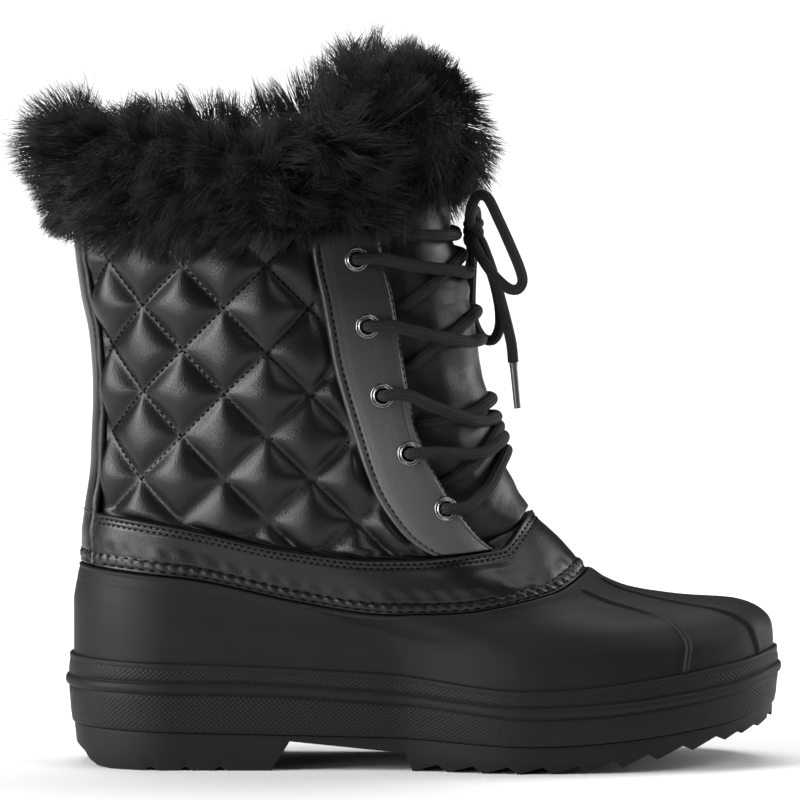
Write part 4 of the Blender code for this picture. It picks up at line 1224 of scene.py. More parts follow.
# %% Quilt seams
QUILT_STITCH = {"pitch": 2.8, "length": 2.1, "radius": .36}
QUILT_THREAD_PROUD = .30
SEAM_TOP = 208.0
SEAM_SAMPLES = 260
SEAM_NUMBERS = range(-6, 7)
SHORTEST_SEAM = 8
PANEL_SHARES = np.linspace(.05, .75, 240)


def quilt_seam(side, family, count):
    """Path of one quilt seam on one side: along the seam a height is chosen, the seam's whole number gives
    the millimetres around, and the share for them is looked up on that height's own level line."""
    height = np.linspace(SHAFT_FOOT, SEAM_TOP, SEAM_SAMPLES)
    up = (height - QUILT_ORIGIN_Z) / QUILT_HIGH
    wanted = (count - family * up) * QUILT_WIDE
    level = level_at(height)
    point = last_point(side * PANEL_SHARES, level[:, None])
    run, _ = from_edges(point[..., :2], axis=1)
    origin = np.array([np.interp(QUILT_ORIGIN_X, x, r) for x, r in zip(point[..., 0], run)])
    found = np.array([np.interp(w, r, PANEL_SHARES) for w, r in zip(wanted + origin, run)])
    inside = (found > BACKSTAY_HALF + .008) & (found < table_value(EYESTAY, level) - .006) & (level > 8.0)
    return side * found[inside], level[inside]


seam_rows = []
for side in (-1, 1):
    for family in (-1, 1):
        for count in SEAM_NUMBERS:
            share, level = quilt_seam(side, family, count)
            if len(share) > SHORTEST_SEAM:
                proud = QUILT_THREAD_PROUD - SEAM_DEPTH * quilt_fade(share, level)
                seam_rows.append((off_last(share, level, proud), outward(share, level)))
add_seam("quilt_thread", seam_rows, **QUILT_STITCH)

# %% [markdown]
# ## Leather band
#
# Between shell and shaft runs a band of glossy leather. Its upper edge is folded into a thin lip with two
# rows of stitches close under it; its lower edge is sewn to the rubber with two wider rows, and the leather
# puckers into small shiny rectangles between them. Lip, grooves and puckers are all heights over the last,
# as functions of the millimetres to the nearest edge and along it.

# %% Band finish and shape
BAND = grained(finish("band_leather", (0.004, 0.004, 0.0042), 0.36, Specular_IOR_Level=0.42),
               1500.0, 0.3, 0.12, 0.3, 0.42)
BAND_COLUMNS = 560
BAND_LEVELS = np.concatenate([[6.03, 6.05, 6.08], np.linspace(6.11, 7.9, 40), [7.93, 7.95, 7.965]])
BOTTOM_ROWS = (1.9, 5.5)
TOP_ROWS = (2.0, 3.9)
PUCKER_PITCH = 4.3
TOP_PITCH = 2.6
BAND_INNER_STEP = 9
BAND_THREAD_PROUD = .12
BAND_THREAD_RADIUS = .40
BAND_THREAD_SHARE = .66


def band_relief(share, from_low, from_top, run):
    """Height of the band's face: rounded rims, the lip, two grooves, the puckers and a few soft creases."""
    rim = -BAND_WALL * ((1 - ease(from_low / .7)) + (1 - ease(from_top / .6)))
    lip = .55 * hump(from_top - .75, .6)
    grooves = -.32 * sum(hump(from_top - place, .45) for place in TOP_ROWS)
    grooves = grooves - .36 * sum(hump(from_low - place, .5) for place in BOTTOM_ROWS)
    between = ease((from_low - BOTTOM_ROWS[0] + .3) / .7) * ease((BOTTOM_ROWS[1] + .3 - from_low) / .7)
    swell = np.abs(np.sin(math.pi * run / PUCKER_PITCH)) ** .7
    varied = .75 + .35 * np.sin(run / 17.0 + .8 * np.sin(run / 7.3))
    puckers = .9 * between * swell * varied
    pull_wave = np.sin(2 * math.pi * run / (2 * PUCKER_PITCH) + np.sin(run / 11))
    pulls = .16 * hump(from_low - 8.5, 2.6) * pull_wave
    middle = ease((from_low - 7) / 5) * ease((from_top - 5) / 5)
    slow_wave = np.sin(run / 13 + .9 * np.sin(run / 29) + from_low / 4) * .5 + np.sin(run / 23 - from_low / 6)
    soft = .22 * middle * slow_wave
    front_fold = -.9 * middle * hump(np.abs(share) - .80, .035)
    return rim + lip + grooves + puckers + pulls + soft + front_fold


share = np.broadcast_to(np.linspace(-1, 1, BAND_COLUMNS + 1), (len(BAND_LEVELS), BAND_COLUMNS + 1))
level_grid = np.broadcast_to(BAND_LEVELS[:, None], share.shape)
band_face = off_last(share, level_grid, BAND_GAP + BAND_WALL)
from_low, from_top = from_edges(band_face, axis=0)
run = run_along(band_face[len(band_face) // 2])
relief = band_relief(share, from_low, from_top, run[None])
outer = off_last(share, level_grid, BAND_GAP + BAND_WALL + relief)
inner = off_last(share, level_grid, BAND_GAP - .1)
points, faces = sleeve(outer, inner[::BAND_INNER_STEP])
band = add_piece("vamp_band", points, faces, BAND)
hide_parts("vamp_band")


def row_at(distance, wanted, *arrays):
    """Each array read, column by column, where the distance from an edge has the wanted value."""
    order = np.argsort(distance[:, 0])
    return [np.stack([np.stack([np.interp(wanted, distance[order, j], array[order, j, k])
                                for k in range(array.shape[2])]) for j in range(array.shape[1])])
            for array in arrays]


def thread_row(distance, wanted, face, normals, proud):
    """Path and normals of a stitch row at a wanted distance from an edge, a little proud of the face."""
    path, path_normals = row_at(distance, wanted, face, normals)
    return path + path_normals * proud, path_normals


band_normals = outward(share, level_grid)
beside_back = np.abs(share[0]) > BACKSTAY_HALF + .006
halves = (beside_back & (share[0] < 0), beside_back & (share[0] > 0))
for name, distance, places, pitch in (("band_top_thread", from_top, TOP_ROWS, TOP_PITCH),
                                      ("band_bottom_thread", from_low, BOTTOM_ROWS, PUCKER_PITCH)):
    rows = []
    for place in places:
        path, normals = thread_row(distance, place, outer, band_normals, BAND_THREAD_PROUD)
        rows += [(path[half], normals[half]) for half in halves]
    add_seam(name, rows, pitch, pitch * BAND_THREAD_SHARE, BAND_THREAD_RADIUS)

# %% [markdown]
# ## Facings and back strip
#
# The facings that carry the eyelets and the strip over the back seam are cut from a duller, pebbled leather.
# Each facing has a raised, piped rear edge with stitches beside it, and a folded front edge with stitches on
# its rim. The back strip has a wrinkled piped edge on both sides, and it runs on over the band, where a short
# flap ends it.

# %% Facings
FACING = grained(finish("facing_leather", (0.030, 0.030, 0.0303), 0.44, Specular_IOR_Level=0.6),
                 1600.0, 0.5, 0.15, 0.36, 0.48)
# Base colour by height: lighter grey leather lower down, fading to near black towards the top as painted
# shade under the fur cuff.
facing_up = node(FACING, "ShaderNodeSeparateXYZ", [("Vector", object_place(FACING))]).outputs["Z"]
painted_shade_under_fur = node(FACING, "ShaderNodeMapRange", [("Value", facing_up), ("From Min", 0.188), ("From Max", 0.125)])
two_tone(FACING, painted_shade_under_fur.outputs["Result"], (0.009, 0.009, 0.0091), (0.076, 0.075, 0.074))
FACING_ROWS = 124
FACING_COLUMNS = 44
FACING_HOLE = 3.85
FACING_SEWN = 3.0
FACING_CLEAR = .004
EDGE_STITCH = {"pitch": 2.7, "length": 1.9, "radius": .34}
EDGE_THREAD_PROUD = .1


def edge_threads(from_first, wanted, face, normals):
    """Two stitch rows of a strip: at a wanted distance from its first column, and on its last column."""
    sewn = thread_row(from_first.T, wanted, face.swapaxes(0, 1), normals.swapaxes(0, 1), EDGE_THREAD_PROUD)
    return [sewn, (face[:, -1] + normals[:, -1] * EDGE_THREAD_PROUD, normals[:, -1])]


def facing_relief(from_rear, from_front, height):
    """Height of a facing's face: rounded rims, the piping at the rear, a fold at the front, sewn grooves."""
    rim = -OVERLAY_WALL * .9 * ((1 - ease(from_rear / .5)) + (1 - ease(from_front / 1.4)))
    piping = (1.25 + .12 * np.sin(height / 2.6 + np.sin(height / 7))) * hump(from_rear - 1.1, .95)
    grooves = -.5 * hump(from_rear - FACING_SEWN, .6) - .35 * hump(from_front - 2.8, .55)
    fold = .18 * hump(from_front - 1.2, .8)
    pillow_up = .35 * ease((from_rear - 3) / 5) * ease((from_front - 3.5) / 5)
    return rim + piping + grooves + fold + pillow_up


facing_threads = []
facing_levels = np.linspace(8.03, 13.9, FACING_ROWS)
rear = table_value(EYESTAY, facing_levels)
front = 1 - throat_half(facing_levels) - FACING_CLEAR
across = np.linspace(0, 1, FACING_COLUMNS)
crowd = across + .035 * np.sin(4 * math.pi * across)
for name, side in (("eyestay_lateral", -1), ("eyestay_medial", 1)):
    share = side * (rear[:, None] + (front - rear)[:, None] * crowd)
    level_grid = np.broadcast_to(facing_levels[:, None], share.shape)
    face = off_last(share, level_grid, FACET_GAP + OVERLAY_WALL)
    from_rear, from_front = from_edges(face, axis=1)
    relief = facing_relief(from_rear, from_front, face[..., 2])
    outer = off_last(share, level_grid, FACET_GAP + OVERLAY_WALL + relief)
    inner = off_last(share, level_grid, FACET_GAP - .35)
    kept = clear_of_eyelets(last_point(share, level_grid), FACING_HOLE)
    points, faces, _ = closed_wall(outer, inner, np.full(FACING_ROWS, False), kept)
    facing = add_piece(name, points, faces, FACING)
    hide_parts(name)
    facing_threads += edge_threads(from_rear, FACING_SEWN, outer, outward(share, level_grid))
add_seam("facing_thread", facing_threads, **EDGE_STITCH)

# %% Back strip
STRIP_ROWS = 130
STRIP_COLUMNS = 36
STRIP_SEWN = 2.6
FLAP_SEWN = 5.2
strip_levels = np.linspace(6.1, 13.9, STRIP_ROWS)
strip_share = np.linspace(-BACKSTAY_HALF, BACKSTAY_HALF, STRIP_COLUMNS)
share = np.broadcast_to(strip_share, (STRIP_ROWS, STRIP_COLUMNS))
level_grid = np.broadcast_to(strip_levels[:, None], share.shape)
over_band = 1 - ease((strip_levels - 7.95) / 1.1)
base = (FACET_GAP + OVERLAY_WALL + 1.55 * over_band)[:, None]
face = off_last(share, level_grid, base)
from_first, from_last = from_edges(face, axis=1)
from_edge = np.minimum(from_first, from_last)
from_low, _ = from_edges(face, axis=0)
wander = face[..., 2] / 2.9
wrinkle = np.sin(wander + 1.4 * np.sin(wander / 2.7) + share * 40)
relief = (
    -OVERLAY_WALL * .9 * (1 - ease(from_edge / .6))
    + (.85 + .28 * wrinkle) * hump(from_edge - 1.0, .8)
    - .35 * hump(from_edge - STRIP_SEWN, .6)
    + .22 * ease((from_edge - 3) / 3) * np.sin(face[..., 2] / 9 + share * 9)
    - .42 * hump(from_low - FLAP_SEWN, .55)
    + .25 * hump(from_low - .8, .7)
    - OVERLAY_WALL * .9 * (1 - ease(from_low / .5))
)
outer = off_last(share, level_grid, base + relief)
inner = off_last(share, level_grid, base - OVERLAY_WALL - .1)
points, faces, _ = closed_wall(outer, inner, np.full(STRIP_ROWS, False))
backstay = add_piece("backstay", points, faces, BAND)
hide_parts("backstay")
strip_normals = outward(share, level_grid)
strip_rows = edge_threads(from_first, STRIP_SEWN, outer, strip_normals)
strip_rows.append(thread_row(from_low, FLAP_SEWN, outer, strip_normals, EDGE_THREAD_PROUD))
add_seam("strip_thread", strip_rows, **EDGE_STITCH)

# %% [markdown]
# ## Tongue
#
# The tongue is a padded, glossy sheet behind the lacing. It tucks under both facings, and every row of lace
# presses it in a little, so it swells between the rows and creases slantwise beside them. It starts as the
# solid's own face, which is tucked at the edges and full in the middle, with the swells and creases on top.

# %% Tongue
TONGUE_WALL = 4.0
TONGUE_TOP_LIFT = 8.0
TONGUE_TOP_ROWS = 4
TONGUE_ROWS = 130
TONGUE_COLUMNS = 66
TONGUE = grained(finish("tongue_leather", (0.012, 0.012, 0.0122), 0.42, Specular_IOR_Level=0.38),
                 1400.0, 0.35, 0.16, 0.36, 0.5)


def tongue_face(front_share, level):
    """How far the tongue's face lies off the last: tucked under the throat's edges, full in its middle."""
    tucked = -(UPPER_WALL + 4 * FACET_GAP)
    edge = throat_half(np.maximum(level, LEVEL["band_top"]))
    across = ease((edge - .02 - np.abs(front_share)) / .075)
    rising = ease((level - 7.975) / .10)
    return tucked * (1 - across * rising)


def tongue_folds(front_share, level):
    """Swells between the lace rows, slanting creases beside them and a slow sag to one side."""
    pressed = sum(hump(level - row - .28, .20) for row, _ in EYELETS)
    open_part = ease((.26 - np.abs(front_share)) / .12) * ease((level - 8.3) / .5)
    slant = np.sin(9.5 * level + 17 * front_share + 1.3 * np.sin(3.1 * level))
    fine = np.sin(31 * level - 44 * front_share + 2 * np.sin(4.7 * level))
    beside = hump(np.abs(front_share) - .14, .07)
    at_band = 3.0 * hump(level - 8.03, .45) * ease((.17 - np.abs(front_share)) / .1)
    return at_band + open_part * (-.85 * pressed + .3 * slant + .12 * fine * beside)


tongue_levels = np.linspace(7.75, LEVEL["collar"], TONGUE_ROWS)
tongue_levels = np.append(tongue_levels, [LEVEL["collar"]] * TONGUE_TOP_ROWS)
top_lifts = np.arange(1, TONGUE_TOP_ROWS + 1) / TONGUE_TOP_ROWS * TONGUE_TOP_LIFT
tongue_lift = np.append(np.zeros(TONGUE_ROWS), top_lifts)
tuck = np.minimum(.05, (tongue_levels - 7.6) * .12)
narrowed = np.interp(tongue_levels, (13.0, 13.5), (0, 1))
reach = throat_half(np.maximum(tongue_levels, LEVEL["band_top"])) + tuck * (1 - narrowed) - .06 * narrowed
front_share = reach[:, None] * np.linspace(-1, 1, TONGUE_COLUMNS)
level_grid = np.broadcast_to(tongue_levels[:, None], front_share.shape)
face = tongue_face(front_share, level_grid)
folded = face + tongue_folds(front_share, level_grid)
outer = off_last(1 - front_share, level_grid, folded, tongue_lift[:, None])
inner = off_last(1 - front_share, level_grid, face - TONGUE_WALL, tongue_lift[:, None])
points, faces, facing_out = closed_wall(outer, inner, np.full(len(tongue_levels), False))
face_number = np.arange(len(faces))
lined = (face_number >= facing_out) & (face_number < 2 * facing_out)
tongue = add_piece("tongue", points, faces, [TONGUE, FLEECE], finish_of_face=lined)
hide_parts("tongue")

# %% [markdown]
# ## Eyelets
#
# Each eyelet is a turned metal ring: an outer flange, a fine groove, a rolled inner ring and a barrel through
# facing and wall. One profile is spun around each of the ten axes at once, which are the normals of the boot
# at the eyelets, and all ten become one mesh.

# %% Eyelets
NICKEL = finish("eyelet_nickel", (0.30, 0.29, 0.275), 0.24, Metallic=1.0)
nickel_cloud = noise(NICKEL, object_place(NICKEL), 600.0, Detail=4.0)
into_shader(NICKEL, "Roughness", ramp(NICKEL, nickel_cloud, 0.15, 0.36))
bumped(NICKEL, [(nickel_cloud, 0.12, 0.0002)])
EYELET_SIDES = 36
# Each point of the turned profile: radius and rise.
EYELET_PROFILE = (
    (4.75, -.3), (4.78, .15), (4.65, .48), (4.35, .60), (4.05, .50), (3.88, .38), (3.78, .40), (3.68, .62),
    (3.48, .86), (3.22, .92), (3.0, .78), (2.88, .45), (2.85, 0.0), (2.85, -4.8), (3.3, -4.8), (3.3, -.3),
)
EYELET_SEAT = FACET_GAP + OVERLAY_WALL + .3


def eyelet_frames():
    """Middle, outward direction and two directions in the face, for the five outer and five inner eyelets."""
    level, share = np.array(EYELETS).T
    places = np.concatenate([-share, share]), np.concatenate([level, level])
    normal = outward(*places)
    side = unit(np.cross((0.0, 0.0, 1.0), normal))
    return last_point(*places), normal, side, np.cross(normal, side)


middle, normal, side, up = eyelet_frames()
radius, rise = np.array(EYELET_PROFILE).T
spoke = spokes(np.linspace(0, 2 * math.pi, EYELET_SIDES + 1), side, up)
profile = np.append(np.arange(len(radius)), 0)
grid = (middle[:, None, None] + spoke[:, None] * radius[profile][None, :, None, None]
        + normal[:, None, None] * (EYELET_SEAT + rise[profile])[None, :, None, None])
eyelets = add_piece("eyelets", grid.reshape(-1, 3), grid_quads(numbered(grid)), NICKEL)
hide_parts(*[f"eyelet_{name}_{place}" for name in ("lateral", "medial") for place in range(1, 6)])

# %% [markdown]
# ## Lacing
#
# The lace starts as a bar between the lowest eyelets. Each half goes into an eyelet from outside, runs behind
# the facing to its edge, comes up over the tongue and crosses to the next eyelet on the other side. Where two
# strands cross, one rides over the other. Inside the eyelet and behind the facing the cord is squeezed thin.
# The whole run is one route through those stations, from the knot down to the bar and back up to the knot.

# %% Lace route and tube
EYELET_EXIT = .042
UNDER_EDGE_RISE = .38
KNOT_REACH = {-1: .036, 1: .046}
KNOT_LEVEL = 13.02
STRAND_CLEAR = -1.0
OVER_HEIGHTS = (191.5, 165.4, 135.0, 127.2, 121.8)
UNDER_HEIGHTS = (198.5, 176.3, 142.0, 131.2)
CROSS_LIFT = 2.6
CROSS_WIDTH = .10
BEHIND = -4.4
SQUEEZED = .36
STRAND_POINTS = 14


def front_level(height):
    """Level at which a strand on the throat's front line lies at this height in mm."""
    levels = np.linspace(LEVEL["band_top"], LEVEL["collar"], 200)
    lifted = last_point(1.0, levels)[:, 2] + outward(1.0, levels)[:, 2] * (LACE_DIAMETER / 2 + STRAND_CLEAR)
    return float(np.interp(height, lifted, levels))


def over_front(first, last, height=None, crossing=None):
    """Points over the throat between two (front share, level) places, as rows of x, y, z and thickness.

    height is where the strand passes the front line. On each side of it the level follows the square of the
    front share, which looks straight from the side. Towards an eyelet the strand is drawn tight from the
    tongue to the facing, and at a crossing, given as a front share, it rides over the other strand.
    """
    front_share = np.linspace(first[0], last[0], STRAND_POINTS)
    squared = front_share ** 2
    if height is None:
        level = first[1] + (last[1] - first[1]) * (squared - squared[0]) / (squared[-1] - squared[0])
    else:
        middle = front_level(height)
        coming = middle + (first[1] - middle) * squared / squared[0]
        going = middle + (last[1] - middle) * squared / squared[-1]
        level = np.where(front_share * first[0] > 0, coming, going)
    drawn_tight = (front_share * last[0] > 0) & (height is not None)
    climb = (FACET_GAP + OVERLAY_WALL) * np.clip(front_share / last[0], 0, 1) ** 2
    proud = np.where(drawn_tight, climb, tongue_face(front_share, level)) + LACE_DIAMETER / 2 + STRAND_CLEAR
    if crossing is not None:
        proud = proud + CROSS_LIFT * hump(front_share - crossing, CROSS_WIDTH)
    return np.column_stack([off_last(1 - front_share, level, proud), np.ones(STRAND_POINTS)])


def eyelet_exit(index, side):
    """Where the lace leaves an eyelet on the outside, just clear of the ring."""
    level, share = EYELETS[index]
    return side * (1 - share - EYELET_EXIT), level


def under_edge(index, side):
    """Where the lace comes out under the throat's edge, on its way from an eyelet."""
    level = EYELETS[index][0] + UNDER_EDGE_RISE
    return side * (float(throat_half(level)) - .022), level


def through_eyelet(index, side):
    """Stations from over an eyelet, through it and on behind the facing to the throat's edge."""
    level, share = EYELETS[index]
    edge_share, edge_level = under_edge(index, side)
    places = np.array([
        (side * share, level, 3.2, .95), (side * share, level, .4, .56), (side * share, level, -2.6, .5),
        (side * (share + .008), level + .04, BEHIND, SQUEEZED),
    ])
    hidden = off_last(places[:, 0], places[:, 1], places[:, 2])
    inside = off_last(side * (1 - abs(edge_share) - .05), edge_level - .06, BEHIND)
    return np.vstack([np.column_stack([hidden, places[:, 3]]), [*inside, SQUEEZED]])


def crossing_place(index):
    """Front share, on the outer side, where the two strands of one row have the same level: both levels are
    straight lines over the squared share."""
    over = eyelet_exit(index - 1, -1)
    under = under_edge(index, -1)
    over_middle = front_level(OVER_HEIGHTS[index - 1])
    under_middle = front_level(UNDER_HEIGHTS[index - 1])
    slopes = (over[1] - over_middle) / over[0] ** 2 - (under[1] - under_middle) / under[0] ** 2
    return -math.sqrt((under_middle - over_middle) / slopes)


def half_lace(side):
    """Stations of one half, from the middle of the bar through its eyelets to the knot."""
    last = len(EYELETS) - 1
    bar = over_front(eyelet_exit(last, -side), eyelet_exit(last, side), OVER_HEIGHTS[last])
    stations = [bar[STRAND_POINTS // 2:]]
    for index in range(last, 0, -1):
        stations.append(through_eyelet(index, side))
        ends = under_edge(index, side), eyelet_exit(index - 1, -side)
        if side > 0:
            stations.append(over_front(*ends, OVER_HEIGHTS[index - 1], crossing_place(index)))
        else:
            stations.append(over_front(*ends, UNDER_HEIGHTS[index - 1]))
        side = -side
    stations.append(through_eyelet(0, side))
    stations.append(over_front(under_edge(0, side), (side * KNOT_REACH[side], KNOT_LEVEL)))
    return np.vstack(stations)


def smooth_stations(stations, step):
    """Evenly spaced points and thicknesses along a smooth curve through the stations."""
    path = smooth_route(stations[:, :3], step)
    run = run_along(stations[:, :3])
    walked = run_along(path)
    return path, np.interp(walked / walked[-1], run / run[-1], stations[:, 3])


stations = np.vstack([half_lace(-1)[::-1], half_lace(1)])
path, thickness = smooth_stations(stations, CORD_STEP)
points, faces, uv = cord_surface(path, thickness * LACE_DIAMETER / 2)
lacing = add_piece("lacing", points, faces, LACE, uv)
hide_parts("lace_bar", *[f"lace_cross_{place}" for place in range(1, 5)],
            "lace_top_lateral", "lace_top_medial")
print("lace inside the lacing, mm:", round(path_length(path)))

# %% [markdown]
# ## Fur
#
# Cuff and tongue end in deep black faux fur whose fibres stick together in locks. A particle system would do
# for one picture, but here the strands have to be mesh. A dark bolster, the solid's own cross-section drawn
# in towards its middle, carries them. Roots are scattered over its shaggy side. Each strand starts along the
# bolster's normal, bends towards the tip of the nearest lock and ends in a point. Every strand is a thin
# three-sided spindle, and all strands of a piece are worked out as one array.

# %% Fur finish
FUR = finish("fur_fibre", (0.005, 0.005, 0.005), 0.5, Specular_IOR_Level=0.22, Sheen_Weight=0.06)
fur_place = node(FUR, "ShaderNodeUVMap").outputs["UV"]
fur_parts = node(FUR, "ShaderNodeSeparateXYZ", [("Vector", fur_place)])
two_tone(FUR, fur_parts.outputs["X"], (0.0025, 0.0025, 0.0026), (0.010, 0.0099, 0.0097))
into_shader(FUR, "Roughness", ramp(FUR, fur_parts.outputs["Y"], 0.62, 0.42))
FUR_BACKING = make_fleece("fur_backing", (0.004, 0.004, 0.004))

# %% Fur bodies
# Each point of a section: level, proud and lift in mm, spread, and whether locks grow there.
CUFF_FUR = (
    (13.00, 2.9, 0, 1, False),
    (13.02, 7, -2, 1, True),
    (13.25, 11, 0, 1, True),
    (13.70, 11.5, 0, 1, True),
    (14.00, 9, 6, 1, True),
    (14.00, 1, 10, 1, True),
    (14.00, -9, 6, 1, True),
    (13.72, -10, 0, 1, False),
    (13.60, -4, 0, 1, False),
    (13.30, -1, 0, 1, False),
)
TONGUE_FUR = (
    (13.55, 1.6, 0, 1, False),
    (13.52, 5, 0, 1, True),
    (13.85, 10, 0, 1, True),
    (14.00, 10, 20, 1.15, True),
    (14.00, 5, 34, 1.4, True),
    (14.00, -7, 41, 1.4, True),
    (14.00, -20, 36, 1.4, True),
    (14.00, -25, 20, 1.15, True),
    (13.80, -20, 0, 1, True),
    (13.70, -5.8, 0, 1, False),
)
FUR_AROUND = 40
FUR_COUNT = 8600
FUR_LENGTH = 20.0
FUR_WIDTH = (.22, .42)
DRIFT_MM = 75.0
SWEEP_MM = 30.0
END_SHARE = .07
WISP_SHARE = .05
BRUSHED_HALF = 70.0
BRUSHED_OVER = 8.0
STRAND_STEPS = np.array([0.0, .38, .74, 1.0])
STRAND_WIDTH = np.array([1.0, .9, .55, 0.0])
OFF_EVERY_STRAND = (0.37, 0.21, 0.9)
LENGTH_RANGE = (.72, 1.1)
WISP_LENGTH = 1.35
TOGETHER_RANGE = (.15, .8)
HANGING = (-.1, 0, -.22)


def fur_surface(section, middle, reach, base, drawn_in):
    """Grid of a bolster: its section is smoothed into a closed curve, set on the last along the reach, and
    drawn in towards the section's own middle. Also how shaggy each of its lines is, from 0 to 1."""
    rows = np.array(section, float)
    closed = np.vstack([rows, rows[:1]])
    places = np.arange(len(closed))
    fine = np.linspace(0, len(rows), FUR_AROUND + 1)
    level, proud, lift, spread, shaggy = (np.interp(fine, places, closed[:, k]) for k in range(5))
    proud = proud + base(reach[:, None], level[None])
    grid = off_last(middle + reach[:, None] * spread, level[None], proud, lift[None])
    loop = grid[:, :-1]
    centre = loop.mean(axis=1, keepdims=True)
    rounded = (loop + np.roll(loop, 1, axis=1) + np.roll(loop, -1, axis=1)) / 3
    rounded = np.concatenate([rounded, rounded[:, :1]], axis=1)
    return centre + (rounded - centre) * drawn_in, shaggy


def grid_normals(grid, inside):
    """Unit normals of a grid, turned away from the points inside it."""
    along = np.gradient(grid, axis=0)
    around = np.gradient(grid, axis=1)
    normal = unit(np.cross(along, around) + 1e-9)
    away = np.einsum("ijk,ijk->ij", normal, grid - inside)
    return normal * np.where(away < 0, -1, 1)[..., None]


def read_grid(grid, i, j):
    """Grid values at fractional row and column numbers, blended from four neighbours."""
    low_i = np.clip(i.astype(int), 0, grid.shape[0] - 2)
    low_j = np.clip(j.astype(int), 0, grid.shape[1] - 2)
    a = (i - low_i)[:, None]
    b = (j - low_j)[:, None]
    return ((grid[low_i, low_j] * (1 - b) + grid[low_i, low_j + 1] * b) * (1 - a)
            + (grid[low_i + 1, low_j] * (1 - b) + grid[low_i + 1, low_j + 1] * b) * a)


def nearest_lock(roots, lock_roots, block=2000):
    """Number of the lock root nearest to each strand's root."""
    found = [np.argmin(((roots[k:k + block, None] - lock_roots[None]) ** 2).sum(axis=-1), axis=1)
             for k in range(0, len(roots), block)]
    return np.concatenate(found)


def strand_mesh(spine, width, shade):
    """Points, triangles and map of three-sided spindles along spines of four points, their tips pointed."""
    count = len(spine)
    run = unit(spine[:, -1] - spine[:, 0])
    across = unit(np.cross(run, OFF_EVERY_STRAND))
    up = np.cross(run, across)
    ring = spokes(np.arange(3) * 2 * math.pi / 3, across, up)
    size = (width[:, None] * STRAND_WIDTH[:3])[:, :, None, None]
    body = spine[:, :3, None] + ring[:, None] * size / 2
    points = np.concatenate([body.reshape(count, 9, 3), spine[:, 3:]], axis=1)
    low = np.array([(0, 1, 4), (0, 4, 3), (1, 2, 5), (1, 5, 4), (2, 0, 3), (2, 3, 5)])
    faces = np.concatenate([low, low + 3, [(6, 7, 9), (7, 8, 9), (8, 6, 9)], [(0, 2, 1)]])
    faces = (np.arange(count) * 10)[:, None, None] + faces[None]
    along = np.append(np.repeat(STRAND_STEPS[:3], 3), 1.0)
    uv = np.stack(np.broadcast_arrays(shade[:, None], along[None]), axis=-1)
    return points.reshape(-1, 3), faces.reshape(-1, 3), uv.reshape(-1, 2)


def drift(places, chance):
    """Smooth random directions at these places: for each axis, the mean of four slow sine waves."""
    waves = chance.normal(0, 2 * math.pi / DRIFT_MM, (3, 4, 3))
    phases = chance.uniform(0, 2 * math.pi, (3, 4))
    return np.sin(np.einsum("nk,awk->naw", places, waves) + phases).mean(axis=-1) * 2


def scatter(surface, shaggy, half, ends, count, chance):
    """Random roots on the shaggy lines of some rows of a bolster and on its end faces, with their normals."""
    centre = surface[:, :-1].mean(axis=1)
    normals = grid_normals(surface, centre[:, None])
    i = chance.uniform(half[0], half[1], count * 3)
    j = chance.uniform(0, surface.shape[1] - 1, count * 3)
    wanted = chance.uniform(0, 1, count * 3) < np.interp(j, np.arange(len(shaggy)), shaggy)
    i, j = i[wanted][:count], j[wanted][:count]
    roots = [read_grid(surface, i, j)]
    root_normals = [unit(read_grid(normals, i, j))]
    for end in ends:
        beside = 1 if end == 0 else end - 1
        j = chance.uniform(0, surface.shape[1] - 1, int(count * END_SHARE))
        out = np.sqrt(chance.uniform(0, 1, len(j)))[:, None]
        rim = read_grid(surface, np.full(len(j), float(end)), j)
        roots.append(centre[end] + (rim - centre[end]) * out)
        root_normals.append(unit(unit(centre[end] - centre[beside]) * (1 - out ** 4)
                                 + unit(rim - centre[end]) * out ** 4))
    order = chance.permutation(sum(len(part) for part in roots))
    return np.concatenate(roots)[order], np.concatenate(root_normals)[order]


def held_in(points):
    """Points whose distance from the middle plane, past the brushed half width, nears a limit slowly."""
    sideways = points[:, 1] + SHIFT[1]
    past = np.maximum(np.abs(sideways) - BRUSHED_HALF, 0)
    kept_back = np.sign(sideways) * (past - BRUSHED_OVER * (1 - np.exp(-past / BRUSHED_OVER)))
    return points - kept_back[:, None] * (0, 1, 0)


def grow(surface, shaggy, half, ends, count, locks, length_at, middle, seed):
    """Strands on one bolster. A strand leaves along the normal and bends into a sweep, which leads away from
    the fur's middle and wanders slowly. Its tip is drawn some way towards the tip of the nearest lock."""
    chance = np.random.default_rng(seed)
    root, normal = scatter(surface, shaggy, half, ends, count, chance)
    away = (root - middle) * (1, 0, 1)
    away = away / (np.linalg.norm(away, axis=1, keepdims=True) + SWEEP_MM)
    lock = nearest_lock(root, root[:locks])
    sweep = .65 * away + drift(root, chance) * .4 + chance.normal(0, .26, (locks, 3))[lock] + HANGING
    first = unit(normal + .35 * sweep + chance.normal(0, .12, root.shape))
    second = unit(.55 * normal + sweep + chance.normal(0, .2, root.shape))
    length = FUR_LENGTH * length_at(root) * chance.uniform(*LENGTH_RANGE, len(root))
    length = length * np.where(chance.uniform(0, 1, len(root)) < WISP_SHARE, WISP_LENGTH, 1)
    bend = root + first * (length * .45)[:, None]
    tip = bend + second * (length * .6)[:, None]
    together = chance.uniform(*TOGETHER_RANGE, len(root))[:, None]
    tip = tip * (1 - together) + (tip[:locks][lock] + (root - root[:locks][lock]) * .25) * together
    bend = held_in(bend)
    tip = held_in(tip)
    t = STRAND_STEPS[None, :, None]
    spine = (1 - t) ** 2 * root[:, None] + 2 * t * (1 - t) * bend[:, None] + t ** 2 * tip[:, None]
    shade = chance.uniform(0, 1, locks)[lock] * .55 + chance.uniform(0, .45, len(root))
    return strand_mesh(spine, chance.uniform(*FUR_WIDTH, len(root)), shade)


